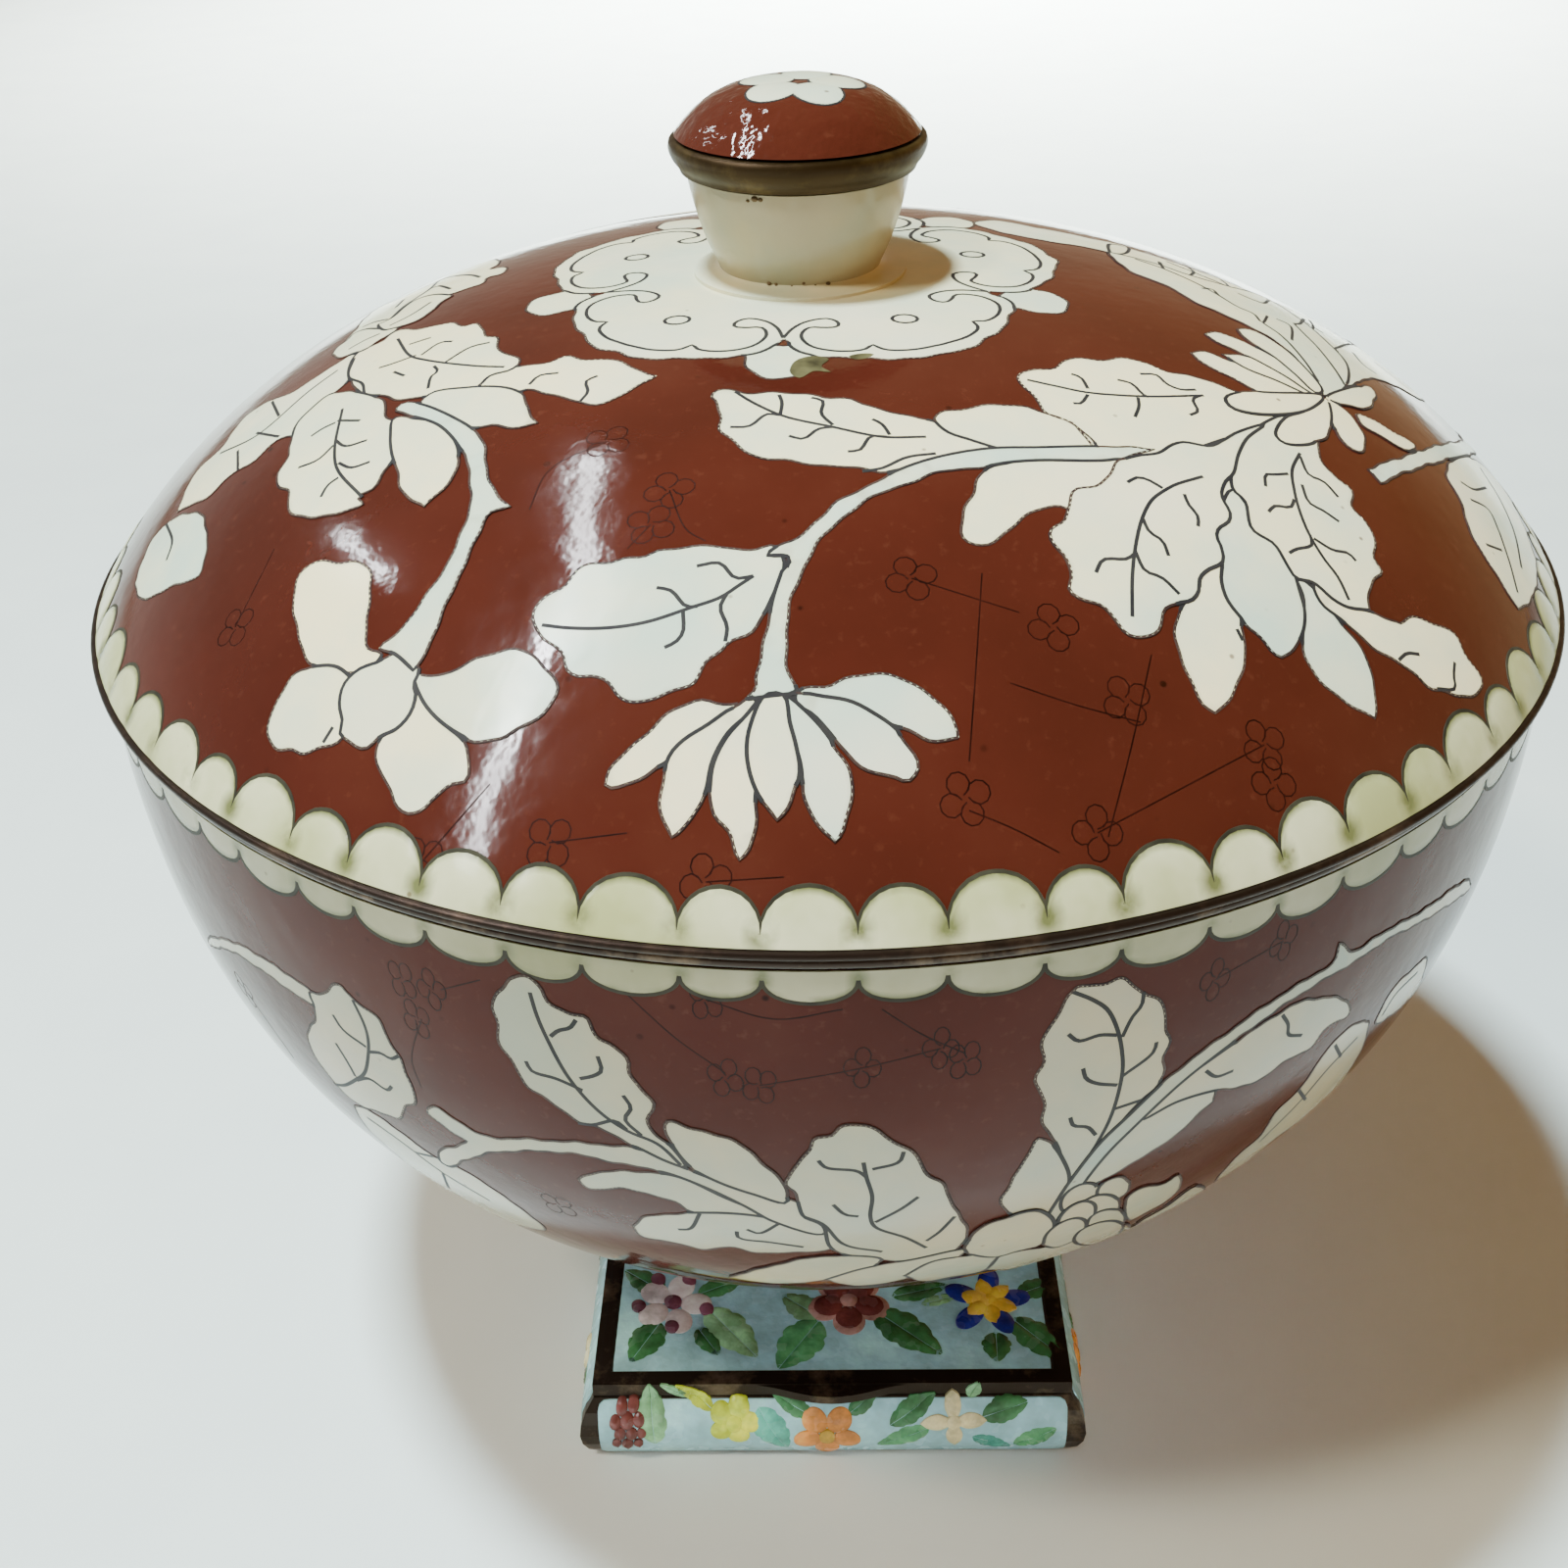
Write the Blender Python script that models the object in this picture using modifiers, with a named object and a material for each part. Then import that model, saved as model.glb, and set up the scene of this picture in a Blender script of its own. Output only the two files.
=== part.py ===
"""Cloisonne covered jar on a small enamelled casket that serves as its stand.

Metres, +Z up. The origin is the centre of the stand's underside. The jar's axis is the Z axis,
and the thumb lip of the stand faces -Y, the front.
"""
import math

import bmesh
import bpy
from mathutils import Vector

# Driving dimensions of the jar
RIM_RADIUS = 0.0900            # outer edge of the lid's metal rim, the widest part
WALL = 0.0020                  # copper body with its enamel, inside and out
GAP = 0.0003                   # joint line left between two pieces that touch
TURN_STEPS = 56                # facets around every large turned piece
SMALL_TURN_STEPS = 36          # facets around the knob
MERGE_DISTANCE = 0.00001       # points closer than this are one point

# Lid
LID_STEP_IN = 0.00045          # the dome's foot line lies this far inside the rim's outer edge
LID_FOOT_RADIUS = RIM_RADIUS - LID_STEP_IN
LID_RISE = 0.03465             # rim line to the crown, outside
LID_FULLNESS = 2.84            # exponent across the dome: higher is flatter on top
LID_SHOULDER = 1.19            # exponent up the dome: higher is rounder at the rim
LID_POINTS = 12                # profile points on each face of the dome
LID_POINT_CROWDING = 1.15      # exponent that draws those points towards the crown

# Bowl
BOWL_STEP_IN = 0.00132         # the bowl's mouth lies this far inside the lid's rim
BOWL_RADIUS = RIM_RADIUS - BOWL_STEP_IN
BOWL_DEPTH = 0.09168           # rim line to the lowest point of the outer curve
BOWL_FULLNESS = 2.0            # exponent across the bowl
BOWL_BELLY = 2.55              # exponent down the bowl: higher is straighter at the rim
BOWL_POINTS = 13               # profile points on each face of the bowl

# Foot ring under the bowl
FOOT_RADIUS = 0.0280           # outside, where it stands
FOOT_WAIST_RADIUS = 0.0255     # outside, at its narrowest
FOOT_WAIST_SHARE = 0.5         # height of that waist as a share of the foot's rise
FOOT_FLARE_SHARE = 0.2         # height of the middle of the flare, likewise
FOOT_WALL = 0.0024
FOOT_RISE = 0.0169             # standing edge to where its outside meets the bowl
FOOT_EDGE = 0.0012             # height of the plain standing edge

# Metal rims
LID_RIM_HEIGHT = 0.0013
LID_RIM_SLOPE = 0.0008         # how far the rim draws in from its lower to its upper edge
BOWL_RIM_HEIGHT = 0.0014
BOWL_RIM_PROUD = 0.0004        # how far the bowl's metal rim stands out from the enamel
RIM_ROUND = 0.0003             # rounding of the rims' edges
LOCATING_DEPTH = 0.0050        # flange of the lid that drops inside the bowl
LOCATING_WALL = 0.0010
LOCATING_CLEARANCE = 0.0005    # play between that flange and the bowl's rim

# Knob, soldered a little off the centre of the lid
KNOB_SHIFT = -0.0020           # along X
NECK_FOOT_RADIUS = 0.0086
NECK_TOP_RADIUS = 0.0130
NECK_HEIGHT = 0.0115
NECK_ROUND = 0.0026            # height of the rounded lower edge of the neck
NECK_ROUND_OUT = 0.0016        # how far that edge swells outwards on its way up
NECK_FLARE = 1.6               # exponent of the neck's widening: higher is more trumpet-like
NECK_POINTS = 6
NECK_ROUND_POINTS = 2
COLLAR_HEIGHT = 0.0036
COLLAR_FOOT_RADIUS = 0.0137
COLLAR_RADIUS = 0.0149
COLLAR_WIDEST_SHARE = 0.3      # the collar is widest this share of its height below its top
COLLAR_POINTS = 5
CAP_STEP_IN = 0.0007           # the cap's edge, and the collar's upper edge, lie this far inside
CAP_RADIUS = COLLAR_RADIUS - CAP_STEP_IN
CAP_RISE = 0.0055
CAP_FULLNESS = 3.25            # exponent of the cap's dome: higher is flatter on top
CAP_POINTS = 8

# Stand: a shallow casket with bulging sides and a lid that lifts off
STAND_WIDTH = 0.0660
STAND_DEPTH = 0.0950
CASE_HEIGHT = 0.0112
CASE_WALL = 0.0018
CASE_FLOOR = 0.0016
CASE_BULGE = 0.0021            # how far each side swells out half way up
CASE_BULGE_FULLNESS = 0.8      # exponent of the swell: lower is fuller near the edges
CASE_BULGE_CUTS = 5            # levels between the case's bottom and top edges
CUT_CLEAR = 0.0100             # how far a cutter runs past the piece that it hollows
PLATE_THICKNESS = 0.0022
BORDER_WIDTH = 0.0023          # metal border around the top
BORDER_RAISE = 0.0005          # how far the border stands above the enamelled field
LIP_DEPTH = 0.0018             # locating lip under the stand's lid
LIP_WALL = 0.0012
LIP_CLEARANCE = 0.0005
THUMB_HALF_WIDTH = 0.0104
THUMB_REACH = 0.0021           # how far the thumb lip stands out in front
THUMB_THICKNESS = 0.0014
THUMB_DROP = 0.00025           # top of the thumb lip below the border's top
THUMB_HOLLOW = 1.5             # exponent of its flanks: higher hollows them more
THUMB_POINTS = 17


def bowl_depth_at(radius):
    """Depth below the rim line at which the bowl's outside has a radius."""
    share = (radius / BOWL_RADIUS) ** BOWL_FULLNESS
    return BOWL_DEPTH * (1.0 - share) ** (1.0 / BOWL_BELLY)


# Levels that follow from the sizes above
FIELD_LEVEL = CASE_HEIGHT + GAP + PLATE_THICKNESS - BORDER_RAISE
FOOT_LEVEL = FIELD_LEVEL + GAP
FOOT_MEETING_DEPTH = bowl_depth_at(FOOT_WAIST_RADIUS)
RIM_LEVEL = FOOT_LEVEL + FOOT_RISE + FOOT_MEETING_DEPTH
BOWL_RIM_TOP = RIM_LEVEL - GAP
BOWL_TOP = BOWL_RIM_TOP - BOWL_RIM_HEIGHT - GAP
LID_BASE = RIM_LEVEL + LID_RIM_HEIGHT + GAP
NECK_BASE = RIM_LEVEL + LID_RISE + GAP
COLLAR_BASE = NECK_BASE + NECK_HEIGHT + GAP
CAP_BASE = COLLAR_BASE + COLLAR_HEIGHT + GAP

OBJECT_NAME = "cloisonne_lidded_jar"


def clear_scene():
    for old in list(bpy.data.objects):
        bpy.data.objects.remove(old, do_unlink=True)


def make_collection(name):
    collection = bpy.data.collections.new(name)
    bpy.context.scene.collection.children.link(collection)
    return collection


def make_material(name, colour, roughness, metallic):
    material = bpy.data.materials.new(name)
    material.use_nodes = True
    shader = material.node_tree.nodes["Principled BSDF"]
    shader.inputs["Base Color"].default_value = (*colour, 1.0)
    shader.inputs["Roughness"].default_value = roughness
    shader.inputs["Metallic"].default_value = metallic
    material.diffuse_color = (*colour, 1.0)
    return material


def add_object(name, mesh, collection, material):
    thing = bpy.data.objects.new(name, mesh)
    collection.objects.link(thing)
    if material is not None:
        thing.data.materials.append(material)
    return thing


def turned(name, profile, closed, steps, collection, material):
    """A turned piece: (radius, height) points that run down the outside, spun about Z."""
    mesh = bpy.data.meshes.new(name)
    count = len(profile)
    edges = [(i, i + 1) for i in range(count - 1)]
    if closed:
        edges.append((count - 1, 0))
    mesh.from_pydata([(radius, 0.0, height) for radius, height in profile], edges, [])
    thing = add_object(name, mesh, collection, material)
    screw = thing.modifiers.new("turn", "SCREW")
    screw.axis = "Z"
    screw.steps = steps
    screw.render_steps = steps
    screw.use_merge_vertices = True
    screw.merge_threshold = MERGE_DISTANCE
    screw.use_smooth_shade = True
    return thing


def offset_inwards(profile, distance):
    """The profile moved square to itself by distance, towards the axis side of its travel."""
    moved = []
    last = len(profile) - 1
    for i, (radius, height) in enumerate(profile):
        before = Vector(profile[max(i - 1, 0)])
        after = Vector(profile[min(i + 1, last)])
        along = (after - before).normalized()
        moved.append((max(radius + along.y * distance, 0.0), height - along.x * distance))
    return moved


def dome_curve():
    """The lid's outer curve, crown first."""
    points = []
    for i in range(LID_POINTS):
        angle = 0.5 * math.pi * i / (LID_POINTS - 1)
        across = math.sin(angle) ** LID_POINT_CROWDING
        rise = LID_RISE * (1.0 - across ** LID_FULLNESS) ** (1.0 / LID_SHOULDER)
        points.append((LID_FOOT_RADIUS * across, RIM_LEVEL + rise))
    return points


def cut_at_height(points, level, keep_above):
    """The points on one side of a level, with the crossing point added at the cut."""
    kept = []
    for i, (radius, height) in enumerate(points):
        inside = height >= level if keep_above else height <= level
        if i > 0:
            last_radius, last_height = points[i - 1]
            if (height - level) * (last_height - level) < 0.0:
                share = (level - last_height) / (height - last_height)
                kept.append((last_radius + share * (radius - last_radius), level))
        if inside:
            kept.append((radius, height))
    return kept


def build_lid(collection, material):
    outer = dome_curve()
    inner = offset_inwards(outer, WALL)
    inner[0] = (0.0, outer[0][1] - WALL)
    outer = cut_at_height(outer, LID_BASE, True)
    inner = cut_at_height(inner, LID_BASE, True)
    return turned("lid", outer + inner[::-1], False, TURN_STEPS, collection, material)


def bowl_radius_at(depth):
    """Outer radius of the bowl at a depth below the rim line."""
    share = (depth / BOWL_DEPTH) ** BOWL_BELLY
    return BOWL_RADIUS * (1.0 - share) ** (1.0 / BOWL_FULLNESS)


def bowl_curve():
    """The bowl's outer curve, rim first and ending on the axis."""
    top_depth = RIM_LEVEL - BOWL_TOP
    points = []
    for i in range(BOWL_POINTS - 1):
        angle = 0.5 * math.pi * i / (BOWL_POINTS - 1)
        depth = top_depth + (BOWL_DEPTH - top_depth) * math.sin(angle)
        points.append((bowl_radius_at(depth), RIM_LEVEL - depth))
    points.append((0.0, RIM_LEVEL - BOWL_DEPTH))
    return points


def build_bowl(collection, material):
    outer = bowl_curve()
    inner = offset_inwards(outer, WALL)
    inner[0] = (outer[0][0] - WALL, BOWL_TOP)
    inner[-1] = (0.0, outer[-1][1] + WALL)
    meeting = RIM_LEVEL - FOOT_MEETING_DEPTH
    side = cut_at_height(outer, meeting, True)
    waist = FOOT_LEVEL + FOOT_WAIST_SHARE * FOOT_RISE
    flare = FOOT_LEVEL + FOOT_FLARE_SHARE * FOOT_RISE
    foot = [
        (FOOT_WAIST_RADIUS, waist),
        (0.5 * (FOOT_WAIST_RADIUS + FOOT_RADIUS), flare),
        (FOOT_RADIUS, FOOT_LEVEL + FOOT_EDGE),
        (FOOT_RADIUS, FOOT_LEVEL),
        (FOOT_RADIUS - FOOT_WALL, FOOT_LEVEL),
        (FOOT_WAIST_RADIUS - FOOT_WALL, waist),
    ]
    recess_radius = FOOT_WAIST_RADIUS - FOOT_WALL
    under = [
        (recess_radius, RIM_LEVEL - bowl_depth_at(recess_radius)),
        (0.0, RIM_LEVEL - BOWL_DEPTH),
    ]
    profile = inner[::-1] + side + foot + under
    return turned("bowl", profile, False, TURN_STEPS, collection, material)


def ring_profile(outer_low, outer_high, inner, low, high, rounding):
    """Section of a flat ring whose outer edges are rounded, running down the outside."""
    return [
        (inner, high),
        (outer_high - rounding, high),
        (outer_high, high - rounding),
        (outer_low, low + rounding),
        (outer_low - rounding, low),
        (inner, low),
    ]


def build_bowl_rim(collection, material):
    outer = BOWL_RADIUS + BOWL_RIM_PROUD
    inner = BOWL_RADIUS - WALL
    low = BOWL_RIM_TOP - BOWL_RIM_HEIGHT
    profile = ring_profile(outer, outer, inner, low, BOWL_RIM_TOP, RIM_ROUND)
    return turned("bowl_rim", profile, True, TURN_STEPS, collection, material)


def build_lid_rim(collection, material):
    """The lid's metal rim, with the flange that drops inside the bowl."""
    flange_outer = BOWL_RADIUS - WALL - LOCATING_CLEARANCE
    flange_inner = flange_outer - LOCATING_WALL
    top = RIM_LEVEL + LID_RIM_HEIGHT
    top_radius = RIM_RADIUS - LID_RIM_SLOPE
    profile = [
        (flange_inner, top),
        (top_radius - RIM_ROUND, top),
        (top_radius, top - RIM_ROUND),
        (RIM_RADIUS, RIM_LEVEL + RIM_ROUND),
        (RIM_RADIUS - RIM_ROUND, RIM_LEVEL),
        (flange_outer, RIM_LEVEL),
        (flange_outer, RIM_LEVEL - LOCATING_DEPTH),
        (flange_inner, RIM_LEVEL - LOCATING_DEPTH),
    ]
    return turned("lid_rim", profile, True, TURN_STEPS, collection, material)


def build_neck(collection, material):
    """The knob's neck: a small cup, wider at the top, with a rounded lower edge."""
    profile = [(0.0, NECK_BASE + NECK_HEIGHT)]
    start_radius = NECK_FOOT_RADIUS + NECK_ROUND_OUT
    for i in range(NECK_POINTS):
        share = i / (NECK_POINTS - 1)
        radius = NECK_TOP_RADIUS - (NECK_TOP_RADIUS - start_radius) * share ** NECK_FLARE
        profile.append((radius, NECK_BASE + NECK_HEIGHT - (NECK_HEIGHT - NECK_ROUND) * share))
    for i in range(1, NECK_ROUND_POINTS + 1):
        angle = 0.5 * math.pi * i / NECK_ROUND_POINTS
        profile.append((
            NECK_FOOT_RADIUS + NECK_ROUND_OUT * math.cos(angle),
            NECK_BASE + NECK_ROUND * (1.0 - math.sin(angle)),
        ))
    profile.append((0.0, NECK_BASE))
    neck = turned("knob_neck", profile, False, SMALL_TURN_STEPS, collection, material)
    neck.location.x = KNOB_SHIFT
    return neck


def build_collar(collection, material):
    """The metal collar under the knob's cap, swelling to its widest above the middle."""
    profile = [(0.0, COLLAR_BASE + COLLAR_HEIGHT)]
    for i in range(COLLAR_POINTS):
        share = i / (COLLAR_POINTS - 1)
        above = max(1.0 - share / COLLAR_WIDEST_SHARE, 0.0)
        below = max(share - COLLAR_WIDEST_SHARE, 0.0) / (1.0 - COLLAR_WIDEST_SHARE)
        swell = math.cos(0.5 * math.pi * below)
        radius = COLLAR_FOOT_RADIUS + (COLLAR_RADIUS - COLLAR_FOOT_RADIUS) * swell
        radius -= CAP_STEP_IN * above ** 2
        profile.append((radius, COLLAR_BASE + COLLAR_HEIGHT * (1.0 - share)))
    profile.append((0.0, COLLAR_BASE))
    collar = turned("knob_collar", profile, False, SMALL_TURN_STEPS, collection, material)
    collar.location.x = KNOB_SHIFT
    return collar


def build_cap(collection, material):
    """The enamelled cap: a low dome that continues the swell of the collar."""
    profile = []
    for i in range(CAP_POINTS):
        across = math.sin(0.5 * math.pi * i / (CAP_POINTS - 1))
        height = CAP_BASE + CAP_RISE * (1.0 - across ** CAP_FULLNESS)
        profile.append((CAP_RADIUS * across, height))
    profile.append((0.0, CAP_BASE))
    cap = turned("knob_cap", profile, False, SMALL_TURN_STEPS, collection, material)
    cap.location.x = KNOB_SHIFT
    return cap


def box_mesh(width, depth, low, high):
    """A box on the Z axis, as an editable mesh."""
    cage = bmesh.new()
    bmesh.ops.create_cube(cage, size=1.0)
    bmesh.ops.scale(cage, vec=(width, depth, high - low), verts=cage.verts)
    bmesh.ops.translate(cage, vec=(0.0, 0.0, 0.5 * (low + high)), verts=cage.verts)
    return cage


def finish_mesh(cage, name):
    mesh = bpy.data.meshes.new(name)
    bmesh.ops.recalc_face_normals(cage, faces=cage.faces)
    cage.to_mesh(mesh)
    cage.free()
    return mesh


def add_boolean(thing, other, operation):
    cut = thing.modifiers.new(other.name, "BOOLEAN")
    cut.operation = operation
    cut.object = other
    cut.solver = "EXACT"


def build_case(collection, cutters, material):
    """The casket's body: a box whose sides swell out, hollowed from above."""
    cage = box_mesh(STAND_WIDTH, STAND_DEPTH, 0.0, CASE_HEIGHT)
    uprights = [edge for edge in cage.edges if abs(edge.verts[0].co.z - edge.verts[1].co.z) > GAP]
    bmesh.ops.subdivide_edges(cage, edges=uprights, cuts=CASE_BULGE_CUTS, use_grid_fill=True)
    for corner in cage.verts:
        up = corner.co.z / CASE_HEIGHT
        swell = CASE_BULGE * abs(math.sin(math.pi * up)) ** CASE_BULGE_FULLNESS
        corner.co.x += math.copysign(swell, corner.co.x)
        corner.co.y += math.copysign(swell, corner.co.y)
    case = add_object("stand_case", finish_mesh(cage, "stand_case"), collection, material)
    inside = box_mesh(
        STAND_WIDTH - 2.0 * CASE_WALL,
        STAND_DEPTH - 2.0 * CASE_WALL,
        CASE_FLOOR,
        CASE_HEIGHT + CUT_CLEAR,
    )
    cutter = add_object("case_inside", finish_mesh(inside, "case_inside"), cutters, None)
    cutter.hide_render = True
    cutter.display_type = "WIRE"
    add_boolean(case, cutter, "DIFFERENCE")
    return case


def thumb_outline():
    """Ogee outline of the thumb lip in plan: two hollow flanks rising to a rounded middle."""
    root = -0.5 * STAND_DEPTH + BORDER_WIDTH
    points = [(THUMB_HALF_WIDTH, root), (-THUMB_HALF_WIDTH, root)]
    for i in range(THUMB_POINTS):
        share = -1.0 + 2.0 * i / (THUMB_POINTS - 1)
        reach = THUMB_REACH * math.cos(0.5 * math.pi * share) ** THUMB_HOLLOW
        points.append((share * THUMB_HALF_WIDTH, -0.5 * STAND_DEPTH - reach))
    return points


def curve_to_mesh_object(name, curve, collection):
    """A filled curve made into a welded mesh object, so that a Boolean can use it."""
    source = bpy.data.objects.new(name + "_outline", curve)
    collection.objects.link(source)
    bpy.context.view_layer.update()
    evaluated = source.evaluated_get(bpy.context.evaluated_depsgraph_get())
    mesh = bpy.data.meshes.new_from_object(evaluated)
    mesh.name = name
    weld = bmesh.new()
    weld.from_mesh(mesh)
    bmesh.ops.remove_doubles(weld, verts=weld.verts, dist=MERGE_DISTANCE)
    bmesh.ops.recalc_face_normals(weld, faces=weld.faces)
    weld.to_mesh(mesh)
    weld.free()
    result = bpy.data.objects.new(name, mesh)
    result.matrix_world = source.matrix_world
    collection.objects.link(result)
    bpy.data.objects.remove(source, do_unlink=True)
    return result


def build_thumb_lip(cutters):
    outline = thumb_outline()
    curve = bpy.data.curves.new("thumb_lip", "CURVE")
    curve.dimensions = "2D"
    curve.fill_mode = "BOTH"
    curve.extrude = 0.5 * THUMB_THICKNESS
    spline = curve.splines.new("POLY")
    spline.points.add(len(outline) - 1)
    for point, (x, y) in zip(spline.points, outline):
        point.co = (x, y, 0.0, 1.0)
    spline.use_cyclic_u = True
    lip = curve_to_mesh_object("thumb_lip", curve, cutters)
    plate_low = CASE_HEIGHT + GAP
    lip.location.z = plate_low + PLATE_THICKNESS - THUMB_DROP - 0.5 * THUMB_THICKNESS
    lip.hide_render = True
    lip.display_type = "WIRE"
    return lip


def face_towards(cage, direction, level):
    """The flat face of the cage that looks along direction and lies nearest to a height."""
    facing = [face for face in cage.faces if face.normal.dot(direction) > 0.5]
    return min(facing, key=lambda face: abs(face.calc_center_median().z - level))


def build_stand_lid(collection, cutters, material):
    """The casket's lid: a bordered plate with a locating lip below and a thumb lip in front."""
    low = CASE_HEIGHT + GAP
    high = low + PLATE_THICKNESS
    cage = box_mesh(STAND_WIDTH, STAND_DEPTH, low, high)
    cage.normal_update()
    up = Vector((0.0, 0.0, 1.0))
    field = face_towards(cage, up, high)
    bmesh.ops.inset_region(cage, faces=[field], thickness=BORDER_WIDTH, use_even_offset=True)
    bmesh.ops.inset_region(cage, faces=[field], thickness=BORDER_RAISE, use_even_offset=True)
    bmesh.ops.translate(cage, vec=(0.0, 0.0, -BORDER_RAISE), verts=field.verts)
    under = face_towards(cage, -up, low)
    inset = CASE_WALL + LIP_CLEARANCE
    bmesh.ops.inset_region(cage, faces=[under], thickness=inset, use_even_offset=True)
    drawn = bmesh.ops.extrude_face_region(cage, geom=[under])
    lowered = [item for item in drawn["geom"] if isinstance(item, bmesh.types.BMVert)]
    bmesh.ops.translate(cage, vec=(0.0, 0.0, -LIP_DEPTH), verts=lowered)
    bmesh.ops.delete(cage, geom=[under], context="FACES_ONLY")
    cage.normal_update()
    below = face_towards(cage, -up, low - LIP_DEPTH)
    bmesh.ops.inset_region(cage, faces=[below], thickness=LIP_WALL, use_even_offset=True)
    raised = bmesh.ops.extrude_face_region(cage, geom=[below])
    lifted = [item for item in raised["geom"] if isinstance(item, bmesh.types.BMVert)]
    bmesh.ops.translate(cage, vec=(0.0, 0.0, LIP_DEPTH), verts=lifted)
    bmesh.ops.delete(cage, geom=[below], context="FACES_ONLY")
    lid = add_object("stand_lid", finish_mesh(cage, "stand_lid"), collection, material)
    add_boolean(lid, build_thumb_lip(cutters), "UNION")
    return lid


def build():
    clear_scene()
    parts = make_collection(OBJECT_NAME)
    cutters = make_collection("cutters")
    bowl_enamel = make_material("bowl_enamel", (0.16, 0.045, 0.045), 0.22, 0.0)
    lid_enamel = make_material("lid_enamel", (0.19, 0.040, 0.030), 0.20, 0.0)
    white_enamel = make_material("white_enamel", (0.72, 0.68, 0.58), 0.28, 0.0)
    red_enamel = make_material("knob_enamel", (0.20, 0.040, 0.028), 0.22, 0.0)
    rim_brass = make_material("rim_brass", (0.22, 0.14, 0.07), 0.42, 1.0)
    collar_brass = make_material("collar_brass", (0.20, 0.14, 0.05), 0.45, 1.0)
    casket_enamel = make_material("casket_enamel", (0.22, 0.42, 0.52), 0.30, 0.0)
    build_bowl(parts, bowl_enamel)
    build_bowl_rim(parts, rim_brass)
    build_lid(parts, lid_enamel)
    build_lid_rim(parts, rim_brass)
    build_neck(parts, white_enamel)
    build_collar(parts, collar_brass)
    build_cap(parts, red_enamel)
    build_case(parts, cutters, casket_enamel)
    build_stand_lid(parts, cutters, casket_enamel)
    bpy.context.view_layer.update()


build()
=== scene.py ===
"""Cloisonne covered jar on its small enamelled casket: surfaces, wires, enamel cells and finishes.

Metres, +Z up, the jar's axis on Z, the front along -Y. The ornament is laid on the lid and the bowl
cell by cell: an outline is drawn and filled with a thin plate of enamel. A wire lies where two plates
meet, and a thin brown fringe where a plate meets the ground.
"""
import math
from typing import NamedTuple

import bpy
import numpy as np
from bpy.props import FloatProperty, FloatVectorProperty, IntProperty, PointerProperty
from mathutils import Matrix, Vector
from mathutils.geometry import delaunay_2d_cdt


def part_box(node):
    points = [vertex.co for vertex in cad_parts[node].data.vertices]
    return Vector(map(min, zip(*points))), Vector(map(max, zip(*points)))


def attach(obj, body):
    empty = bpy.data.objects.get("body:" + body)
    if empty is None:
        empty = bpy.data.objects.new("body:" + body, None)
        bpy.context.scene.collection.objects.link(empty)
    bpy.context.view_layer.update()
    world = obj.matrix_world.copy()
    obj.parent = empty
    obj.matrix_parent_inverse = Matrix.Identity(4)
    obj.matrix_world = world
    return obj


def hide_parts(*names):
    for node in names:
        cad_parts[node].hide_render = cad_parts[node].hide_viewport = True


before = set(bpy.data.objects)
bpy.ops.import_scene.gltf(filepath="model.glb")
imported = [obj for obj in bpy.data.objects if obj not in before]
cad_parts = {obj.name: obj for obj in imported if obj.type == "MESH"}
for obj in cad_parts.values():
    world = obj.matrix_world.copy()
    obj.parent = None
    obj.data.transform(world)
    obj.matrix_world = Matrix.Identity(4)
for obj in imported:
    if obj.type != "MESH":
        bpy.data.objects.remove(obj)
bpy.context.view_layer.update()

bl_info = {
    "name": "Cloisonne Lidded Jar",
    "version": (1, 0, 0),
    "blender": (4, 5, 0),
    "location": "3D View > Sidebar > Jar",
    "description": "Builds a cloisonne covered jar on its casket, with wires and enamel cells as meshes",
    "category": "Add Mesh",
}

MM = 0.001
GAP = 0.0003                        # joint line between pieces, as in the solids
WALL = 0.0020
BEAD_GAP = 0.0001                   # dark line between the lid's metal rim and its enamel
FLANGE_WALL = 1.0 * MM              # the lid's flange inside the bowl
FLANGE_GAP = 0.5 * MM
OUTER_PITCH = 1.2 * MM              # distance between the rows of a turned body, outside and inside
INNER_PITCH = 3.0 * MM
RIM_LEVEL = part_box("bowl_rim")[1].z + GAP
RIM_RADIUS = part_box("lid_rim")[1].x
NECK_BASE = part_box("knob_neck")[0].z
CAP_BASE, CAP_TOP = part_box("knob_cap")[0].z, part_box("knob_cap")[1].z
KNOB_SHIFT = 0.5 * (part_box("knob_cap")[0].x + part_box("knob_cap")[1].x)

SIGHT_REACH = (1.3, 4.2)            # in rim radii from the eye: where a line of sight looks for the jar
SIGHT_STEPS = 240
HALVINGS = 20
GRAZING_REACH = 2.5 * MM            # a line of sight that misses by less is laid on the outline
NEIGHBOUR_REACH = 0.40 * MM         # plates nearer than this share a wire
RIPPLE = 0.11 * MM                  # unevenness of the edges along the ground
FAR_REACH = 60.0 * MM               # how far behind the axis the far wires get their full width
STAIN_REACH = 1.4 * MM              # how far a plate's stain and its domed edge reach inwards
FAINT = 1e-12                       # keeps a division from failing on a length of nothing
QUARTER = 0.5 * math.pi
OVAL_POINTS = 10
PETAL_SIDE = ((0.0, 0.12), (0.25, 0.72), (0.45, 1.0), (0.78, 0.72))     # shares of length and half width
ROW_SHARE = 0.866                   # rows of a triangle grid lie nearer together than its points
FINE_STEPS = 3000                   # points along the profiles that lines are laid on
BACK = math.pi
CREAM, MILKY, COOL = 1.0, 0.2, -1.0     # tints of white enamel
CORNER = None                       # stands after a sharp point in a row


class Cell(NamedTuple):
    """One enamel cell as it is read in the picture: tint, layer, outline and the wires that lie in it."""
    tint: float
    layer: int
    outline: tuple
    wires: tuple = ()


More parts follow.
